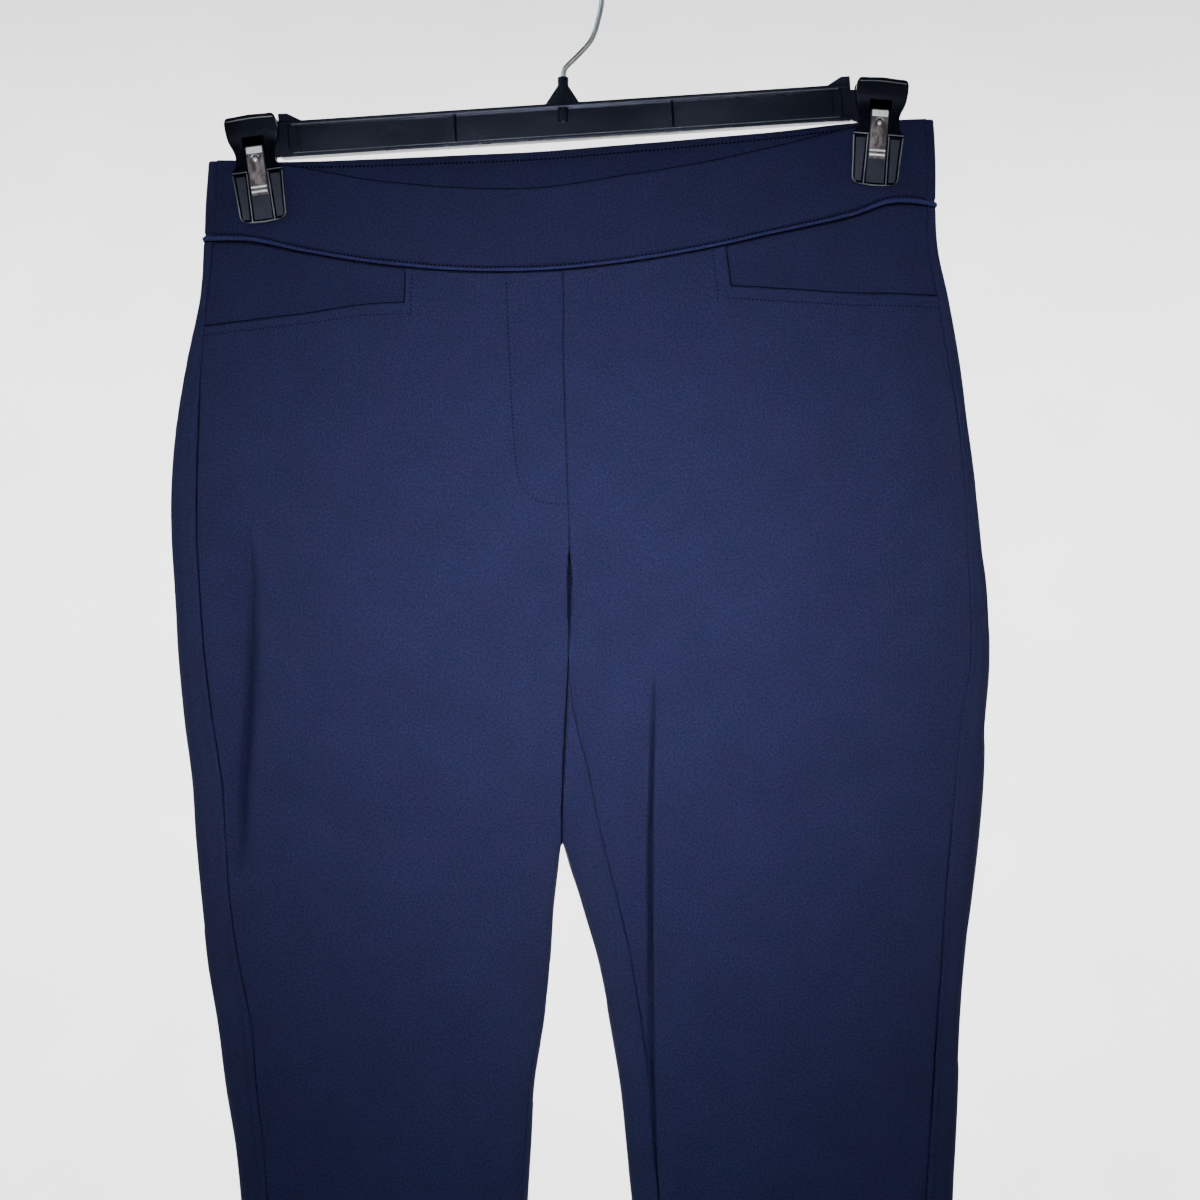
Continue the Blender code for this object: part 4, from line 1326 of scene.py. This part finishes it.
bar = {
    "centre": (1.9, 0.0, -84.0),
    "half": 148.6,
    "height": 18.6,
    "depth": 9.0,
    "flange": 2.0,
    "web": 2.4,
    "tilt": 3.78,
    "ribs": (-57.2, 55.8),
    "ribHalf": 0.6,
    "pins": (-47.2, 46.8),  # round ejector marks on the web
    "pinRadius": 2.6,
    "pinRise": 0.12,
    "edgeStart": 6.0,  # the painted highlight lines, from the bar's ends
    "edgeWidth": (-0.1, 0.35),
    "lugRise": 4.2,
    "lugWidth": 4.6,
    "lugSlope": 8.0,
    "lugWeb": (9.4, 8.4),  # a thin upright inside each lug, from the bar's end
    "bevel": 0.45,
}
socket = {
    "x": 0.6,
    "radius": 2.85,
    "top": -60.5,
    "wireFoot": -72.0,
    # half width below and above, drop from the top, rise over the foot, half thickness, bevel
    "gussets": ((10.0, 2.4, 4.0, 8.0, 1.0, 0.3), (5.6, 2.0, 2.5, 8.2, 2.6, 0.6)),
}
clips = {
    "left": {"foot": (-154.1, 0.0, -136.6), "lean": -7.9},
    "right": {"foot": (161.8, 0.0, -117.8), "lean": 4.7},
    "pegZ": 42.5,
    "pegRadius": 1.9,
    "pegReach": 6.6,
    "tongue": (9.4, 33.2, 49.6),  # to the side of the clip's middle, and its lowest and highest points
    "tongueHalf": 2.3,
}


def barPoint(along, up=0.0):
    tilt = math.radians(bar["tilt"])
    x = bar["centre"][0] + along * math.cos(tilt) - up * math.sin(tilt)
    return x, bar["centre"][2] + along * math.sin(tilt) + up * math.cos(tilt)


def clipPlace(side):
    foot = Vector(clips[side]["foot"]) * mm
    return Matrix.Translation(foot) @ Matrix.Rotation(math.radians(clips[side]["lean"]), 4, "Y")


def hangerBar():
    half, flange, depth, web = bar["height"] / 2, bar["flange"], bar["depth"] / 2, bar["web"] / 2
    long, bevel = bar["half"] - 0.5, bar["bevel"]

    def span(low, high, down, up, thick, bevel):
        corners = [barPoint(low, down), barPoint(high, down), barPoint(high, up), barPoint(low, up)]
        return prism(corners, -thick, thick, bevel)

    parts = [
        span(-long, long, -half + 0.7, half - 0.7, web, 0.2),
        span(-long, long, half - flange, half, depth, bevel),
        span(-long, long, -half, -half + flange, depth, bevel),
    ]
    # thin lines of painted highlight along the flanges' inner corners
    reach, corner, (low, high) = long - bar["edgeStart"], half - flange, bar["edgeWidth"]
    wearAndHighlight = [
        span(-reach, reach, corner + low, corner + high, depth + 0.05, 0.1),
        span(-reach, reach, -corner - high, -corner - low, depth + 0.05, 0.1),
    ]
    wide = bar["ribHalf"]
    ribs = [span(x - wide, x + wide, -half + 1, half - 1, depth - 0.6, 0.1) for x in bar["ribs"]]
    for x in bar["pins"]:
        a, c = barPoint(x, -1.0)
        rise = web + bar["pinRise"]
        parts.append(rod((a, -rise, c), (a, rise, c), bar["pinRadius"], 0.1))
    for way in (-1, 1):
        backs = (0, bar["lugWidth"], bar["lugWidth"] + bar["lugSlope"])
        tip, root, foot = (way * (bar["half"] - back) for back in backs)
        low, high = -half + 0.4, half + bar["lugRise"]
        lug = [barPoint(tip, low), barPoint(tip, high), barPoint(root, high)]
        lug += [barPoint(foot, half - 0.3), barPoint(root, half - 1.3), barPoint(root, low)]
        parts.append(prism(lug, -depth + 0.5, depth - 0.5, 0.35))
        inner = sorted(way * (bar["half"] - back) for back in bar["lugWeb"])
        parts.append(span(*inner, -half + 1, half - 1, depth - 1.6, 0.2))
    for side in ("left", "right"):
        way = -1 if side == "left" else 1
        peg = clipPlace(side) @ Vector((0, 0, clips["pegZ"] * mm)) / mm
        start = (barPoint(way * (bar["half"] - 1))[0], 0, peg.z)
        parts.append(rod(start, (peg.x - way * clips["pegReach"], 0, peg.z), clips["pegRadius"]))
        # the flat tongue round the peg, which the jaws close over
        reach, low, high = clips["tongue"]
        inner = [clipPlace(side) @ Vector((-way * reach * mm, 0, z * mm)) / mm for z in (low, high)]
        tongue = [barPoint(way * (bar["half"] - 1), -half + 0.4), *((point.x, point.z) for point in inner)]
        tongue.append(barPoint(way * (bar["half"] - 1), half - 2.4))
        parts.append(prism(tongue, -clips["tongueHalf"], clips["tongueHalf"], 0.3))
    footZ = barPoint(socket["x"] - bar["centre"][0])[1]
    parts.append(rod((socket["x"], 0, footZ), (socket["x"], 0, socket["top"]), socket["radius"], 0.5))
    for below, above, drop, rise, thick, soft in socket["gussets"]:
        x, low, high = socket["x"], footZ + rise, socket["top"] - drop
        corners = [(x - below, low), (x + below, low), (x + above, high), (x - above, high)]
        parts.append(prism(corners, -thick, thick, soft))
    parts = [(part, finish) for finish, group in enumerate((parts, wearAndHighlight, ribs)) for part in group]
    # the second finish is the painted highlight
    finishes = [materials["bar"], materials["barHighlight"], materials["clip"]]
    assemble("hangerBar", parts, finishes, Matrix.Identity(4), "hanger_bar")


jaw = {
    "face": 2.7,  # its inner face, from the clip's middle plane
    "plate": 4.7,
    "rim": 6.0,
    "rimWidth": 0.65,
    "panel": 5.35,
    "bed": 5.1,
    "yoke": 5.9,  # the flush upper half, with the notch that the spring lies in
    "lip": 6.6,
    "shoulder": (25.4, 26.8),
    "shoulderLine": 0.55,  # the height of the painted highlight line on it
    "notch": (5.0, 5.6),  # its half width at the bottom and at the top
    "slot": (39.3, 44.2),
    "top": 55.0,
    "splayZ": (38.0, 48.0),
    "splay": 14.0,
    # corners of its right half, as x and z
    "divider": ((5.5, 0.4), (6.15, 0.4), (5.75, 26.4), (5.1, 26.4)),
    "dullPanel": ((7.0, 1.9), (10.6, 2.3), (11.5, 24.5), (6.4, 24.5)),
    "lipLine": [(12.1, 52.6), (6.0, 53.0), (0, 53.15)],
    "lipLineWidth": 0.42,
    "bedHalf": 4.75,
    "bedFoot": 1.5,
    "lug": ((6.4, 8.8), (36.4, 38.6)),  # its sides and its heights
}
# half outline of a jaw: height above its lower edge, half width
jawOutline = (
    (0.0, 5.0), (0.3, 7.6), (1.0, 10.0), (2.4, 11.7), (4.0, 12.1), (14.0, 12.5), (25.4, 13.1), (27.2, 12.9),
    (28.2, 12.2), (29.6, 11.0), (31.2, 10.4), (33.5, 10.1), (36.0, 10.2), (38.2, 10.8), (40.4, 11.8),
    (43.0, 12.8), (46.0, 13.3), (49.0, 13.5), (52.4, 13.4), (53.8, 12.9), (54.6, 12.2), (55.0, 11.0),
)


def jawHalf(height):
    heights, halves = zip(*jawOutline)
    return float(np.interp(height, heights, halves))


def mirrored(right):
    # a closed row of points from its right half
    return right + [(-x, z) for x, z in reversed(right)]


def jawEdge(low, high, inset=0.0):
    heights = [low, *[z for z, _ in jawOutline if low < z < high], high]
    return [(jawHalf(z) - inset, z) for z in heights]


def jawParts():
    # each part with its finish: plain, painted highlight or dull panel
    lower, upper = jaw["slot"]
    low, high = jaw["shoulder"]
    top, back = jaw["top"], jaw["face"]
    front = back + 1
    sag = [(0, -0.4)]
    parts = [
        (prism(mirrored(jawEdge(0, lower)) + sag, back, jaw["plate"], 0.2), 0),
        (prism(mirrored(jawEdge(upper, top)), back, jaw["plate"] + 0.3, 0.3), 0),
    ]
    yoke = mirrored(jawEdge(high - 0.4, top))
    foot, head = jaw["notch"]
    yoke += [(-foot, high - 0.4), (-head, upper), (head, upper), (foot, high - 0.4)]
    parts.append((prism(yoke, front, jaw["yoke"], 0.4), 0))
    # the rim round the lower half, in the painted highlight finish
    edge = jawEdge(0, low)
    width = jaw["rimWidth"]
    hole = [(max(x - width, 0.5), max(z, width)) for x, z in edge]
    ring = [(-x, z) for x, z in reversed(edge)] + sag + edge
    ring += list(reversed(hole)) + [(0, width - 0.2)] + [(-x, z) for x, z in hole]
    parts.append((prism(ring, front, jaw["rim"], 0.2), 1))
    for way in (-1, 1):
        def plate(points, height, finish, bevel=0.2):
            parts.append((prism([(way * x, z) for x, z in points], front, height, bevel), finish))

        # the divider, in the painted highlight finish
        plate(jaw["divider"], jaw["rim"], 1)
        plate(jaw["dullPanel"], jaw["panel"], 2, 0.3)
        # the shoulder, with a painted highlight line along its upper edge
        line = high - jaw["shoulderLine"]
        for foot, head, height, finish in ((low, line, jaw["rim"], 0), (line, high, jaw["rim"] + 0.25, 1)):
            plate([(5.1, foot), (jawHalf(foot), foot), (jawHalf(head), head), (5.1, head)], height, finish)
        sides, heights = jaw["lug"]
        parts.append((block(sorted(way * x for x in sides), (0.15, back + 0.5), heights, 0.2), 0))
    wide = jaw["bedHalf"]
    parts.append((block((-wide, wide), (front, jaw["bed"]), (jaw["bedFoot"], lower), 0.25), 2))
    lip = [(jawHalf(z) - 0.2, z) for z in (53.2, 53.8, 54.6)] + [(0, 55.3)]
    lip += [(-x, z) for x, z in reversed(lip[:3])] + [(0, 53.7)]
    parts.append((prism(lip, front, jaw["lip"], 0.5), 0))
    # a thin painted highlight line under the lip
    line = jaw["lipLine"] + [(-x, z) for x, z in reversed(jaw["lipLine"][:2])]
    line += [(x, z + jaw["lipLineWidth"]) for x, z in reversed(line)]
    parts.append((prism(line, front, jaw["lip"] + 0.1, 0.12), 1))
    return parts


def splayed(z):
    # how far forward the upper half leans: a smooth bend, then a straight slope
    start, end = jaw["splayZ"]
    into = min(max(z - start, 0.0), end - start)
    return (into**2 / (end - start) / 2 + max(z - end, 0.0)) * math.tan(math.radians(jaw["splay"]))


def clipJaw(side, facing):
    face = "Front" if facing < 0 else "Back"
    parts = jawParts()
    if facing > 0:
        # the back slot is closed round the spring
        half, top, (lower, upper) = strap["half"] + 0.15, strap["top"] + strap["wall"] + 0.2, jaw["slot"]
        web = mirrored([(half, top), (half, lower - 0.4), (5.7, lower - 0.4), (5.7, upper + 0.4)])
        parts.append((prism(web, jaw["face"], jaw["face"] + 0.8, 0.05), 0))
    for body, _ in parts:
        for height in np.linspace(*jaw["splayZ"], 7):
            geometry = body.verts[:] + body.edges[:] + body.faces[:]
            bmesh.ops.bisect_plane(body, geom=geometry, plane_co=(0, 0, height), plane_no=(0, 0, 1))
        for vert in body.verts:
            vert.co.y = (vert.co.y + splayed(vert.co.z)) * facing
    node = f"clip_{face.lower()}_jaw_{side}"
    name = f"clip{face}Jaw{side.capitalize()}"
    finishes = [materials["clip"], materials["clipHighlight"], materials["clipPanel"]]
    assemble(name, parts, finishes, clipPlace(side), node)


strap = {
    "half": 4.25,
    "inner": 5.5,  # from the clip's middle plane
    "wall": 0.6,
    "foot": 14.0,
    "top": 39.4,
    "corner": 1.4,
    "curls": (15.8, 18.2),
    "curl": 0.8,
    "dimpleZ": 32.4,
    "ringZ": 33.2,
    "ringRadius": 1.95,
    "ringWire": 0.26,
    "dimple": (1.125, 0.525, 1.375),  # half sizes
    "cap": (35.7, 39.1),
    "capRise": 0.34,
}


def clipSpring(side):
    def arc(reach, top, corner):
        y, z = reach - corner, top - corner
        turns = [math.radians(90 * k / 6) for k in range(7)]
        quarter = [(y + corner * math.cos(turn), z + corner * math.sin(turn)) for turn in turns]
        right = [(reach, strap["foot"])] + quarter
        return right + [(-y, z) for y, z in reversed(right)]

    outer = arc(strap["inner"] + strap["wall"], strap["top"] + strap["wall"], strap["corner"] + strap["wall"])
    inner = arc(strap["inner"], strap["top"], strap["corner"])
    parts = [(prism(outer + inner[::-1], -strap["half"], strap["half"], 0.12, "X"), 0)]
    for facing in (-1, 1):
        y = facing * (strap["inner"] + strap["wall"] - 0.25)
        for z in strap["curls"]:
            ends = ((-strap["half"] + 0.1, y, z), (strap["half"] - 0.1, y, z))
            parts.append((rod(*ends, strap["curl"], 0.2, 20), 1))
        dimple = bmesh.new()
        centre = Matrix.Translation((0, y + facing * 0.05, strap["dimpleZ"]))
        bmesh.ops.create_uvsphere(
            dimple, u_segments=20, v_segments=12, radius=1,
            matrix=centre @ Matrix.Diagonal((*strap["dimple"], 1)))
        parts.append((dimple, 1))
        parts.append((ringArc(facing), 1))
        wide = strap["half"] - 0.15
        cap = block((-wide, wide), sorted((y, y + facing * strap["capRise"])), strap["cap"], 0.12)
        parts.append((cap, 1))
    name, node = "clipSpring" + side.capitalize(), "clip_spring_" + side
    # finish 1 is the painted highlight on the curls, dimple, ring and cap
    assemble(name, parts, [materials["zinc"], materials["zincHighlight"]], clipPlace(side), node)


def ringArc(facing):
    # the raised arc over the dimple
    centre = Vector((0, facing * (strap["inner"] + strap["wall"]), strap["ringZ"]))
    sections = []
    for k in range(13):
        turn = math.radians(15 + 150 * k / 12)
        out = Vector((math.cos(turn), 0, math.sin(turn)))
        sections.append((out * strap["ringRadius"] + centre, out, strap["ringWire"]))
    return tube(sections, 8)


hook = {
    "wireRadius": 1.4,
    "radius": 20.8,
    "end": 178.0,
    "crookSteps": 28,
    "roundedSteps": 3.0,
    "sides": 20,
    "stepsPerSpan": 6,
}
neckPoints = (
    (0.7, socket["wireFoot"]), (0.7, -66.0), (0.8, -60.5), (1.3, -56.8), (3.2, -54.3),
    (8.8, -48.8), (14.1, -43.0), (17.0, -37.4), (19.0, -30.4), (20.4, -24.0),
)


def hangerHook():
    route = list(neckPoints)
    middle = hook["wireRadius"] - hook["radius"]
    for k in range(hook["crookSteps"] + 1):
        turn = math.radians(hook["end"] * k / hook["crookSteps"])
        route.append((math.cos(turn) * hook["radius"], middle + math.sin(turn) * hook["radius"]))
    path = smoothPath(route, hook["stepsPerSpan"])
    sections = []
    for k, (x, z) in enumerate(path):
        before, after = path[max(k - 1, 0)], path[min(k + 1, len(path) - 1)]
        along = Vector((after[0] - before[0], 0, after[1] - before[1])).normalized()
        # the wire's end is rounded off
        left = (len(path) - 1 - k) / hook["roundedSteps"]
        radius = hook["wireRadius"] * (math.sqrt(max(0.05, 1 - (1 - left) ** 2)) if left < 1 else 1)
        sections.append((Vector((x, 0, z)), Vector((-along.z, 0, along.x)), radius))
    body = tube(sections, hook["sides"])
    assemble("hangerHook", [(body, 0)], [materials["wire"]], Matrix.Identity(4), "hanger_hook")


hangerBar()
hangerHook()
for side in ("left", "right"):
    clipJaw(side, -1)
    clipJaw(side, 1)
    clipSpring(side)
print("hanger made")

sky = {"colour": (0.7, 0.86, 1.0, 1.0), "strength": 0.12}
# metres, watts and degrees
view = {"centreX": 0.0198, "centreZ": -0.3324, "distance": 1.2, "across": 0.624, "sensor": 36.0}
studio = {"radius": 3.0, "floorZ": cadBox[0][2] - 0.32, "wallTop": 2.2, "curve": 0.9, "sides": 64}
lamps = (
    {"name": "keyLamp", "energy": 0.94, "size": 0.22, "spread": 30, "place": (0.0, -1.34, -0.28),
     "aim": (0.018, 0, -0.335)},
    {"name": "fillLeft", "energy": 2.8, "size": 0.9, "spread": 120, "place": (-1.7, -1.0, 0.7),
     "aim": (0, 0, -0.3), "tint": (0.5, 0.78, 1.0)},
    {"name": "fillRight", "energy": 1.1, "size": 0.9, "spread": 120, "place": (1.9, -1.1, 0.9),
     "aim": (0, 0, -0.3), "tint": (0.5, 0.78, 1.0)},
    {"name": "lowLamp", "energy": 0.5, "size": 0.3, "spread": 38, "place": (0.0, -1.2, -0.9),
     "aim": (0.018, 0, -0.93), "tint": (0.6, 0.88, 1.0)},
    {"name": "rearFill", "energy": 8.0, "size": 1.2, "spread": 120, "place": (0.3, 1.9, 1.2),
     "aim": (0, 0, -0.5)},
    {"name": "wallLeft", "energy": 107.0, "size": 1.0, "spread": 124, "place": (-1.05, 0.9, 0.35),
     "aim": (-0.6, 3, -0.8)},
    {"name": "wallRight", "energy": 107.0, "size": 1.0, "spread": 124, "place": (1.05, 0.9, 0.35),
     "aim": (0.6, 3, -0.8)},
)


def setCamera():
    camera = bpy.data.cameras.new("camera")
    camera.sensor_width = view["sensor"]
    camera.lens = view["sensor"] * view["distance"] / view["across"]
    viewer = bpy.data.objects.new("camera", camera)
    viewer.location = (view["centreX"], -view["distance"], view["centreZ"])
    viewer.rotation_euler = (math.pi / 2, 0, 0)
    bpy.context.scene.collection.objects.link(viewer)
    bpy.context.scene.camera = viewer


def setLamps():
    for lamp in lamps:
        light = bpy.data.lights.new(lamp["name"], "AREA")
        light.energy = lamp["energy"]
        light.color = lamp.get("tint", (1.0, 1.0, 1.0))
        light.shape = "DISK"
        light.size = lamp["size"]
        light.spread = math.radians(lamp["spread"])
        holder = bpy.data.objects.new(lamp["name"], light)
        holder.location = lamp["place"]
        aim = Vector(lamp["aim"]) - Vector(lamp["place"])
        holder.rotation_euler = aim.to_track_quat("-Z", "Y").to_euler()
        holder.visible_camera = False
        bpy.context.scene.collection.objects.link(holder)
    world = bpy.data.worlds.new("softSky")
    world.use_nodes = True
    light = world.node_tree.nodes["Background"]
    light.inputs["Color"].default_value = sky["colour"]
    light.inputs["Strength"].default_value = sky["strength"]
    bpy.context.scene.world = world


def setStage():
    # a pale floor that curves up into a wall all round
    body = bmesh.new()
    low, curve = studio["floorZ"], studio["curve"]
    profile = [(0.0, low), (1.0, low)]
    for k in range(13):
        turn = math.radians(90 * k / 12)
        flat = studio["radius"] - curve
        profile.append((flat + curve * math.sin(turn), low + curve - curve * math.cos(turn)))
    profile.append((studio["radius"], studio["wallTop"]))
    verts = [body.verts.new((x, 0, z)) for x, z in profile]
    edges = [body.edges.new(pair) for pair in zip(verts, verts[1:])]
    bmesh.ops.spin(body, geom=verts + edges, cent=(0, 0, 0), axis=(0, 0, 1), angle=2 * math.pi,
                   steps=studio["sides"], use_merge=True)
    bmesh.ops.remove_doubles(body, verts=body.verts, dist=0.0001)
    bmesh.ops.recalc_face_normals(body, faces=body.faces)
    bmesh.ops.reverse_faces(body, faces=body.faces)
    mesh = bpy.data.meshes.new("stage")
    body.to_mesh(mesh)
    body.free()
    mesh.shade_smooth()
    addPiece("stage", mesh, materials["wall"])


setCamera()
setLamps()
setStage()
print("camera, lamps and stage set")
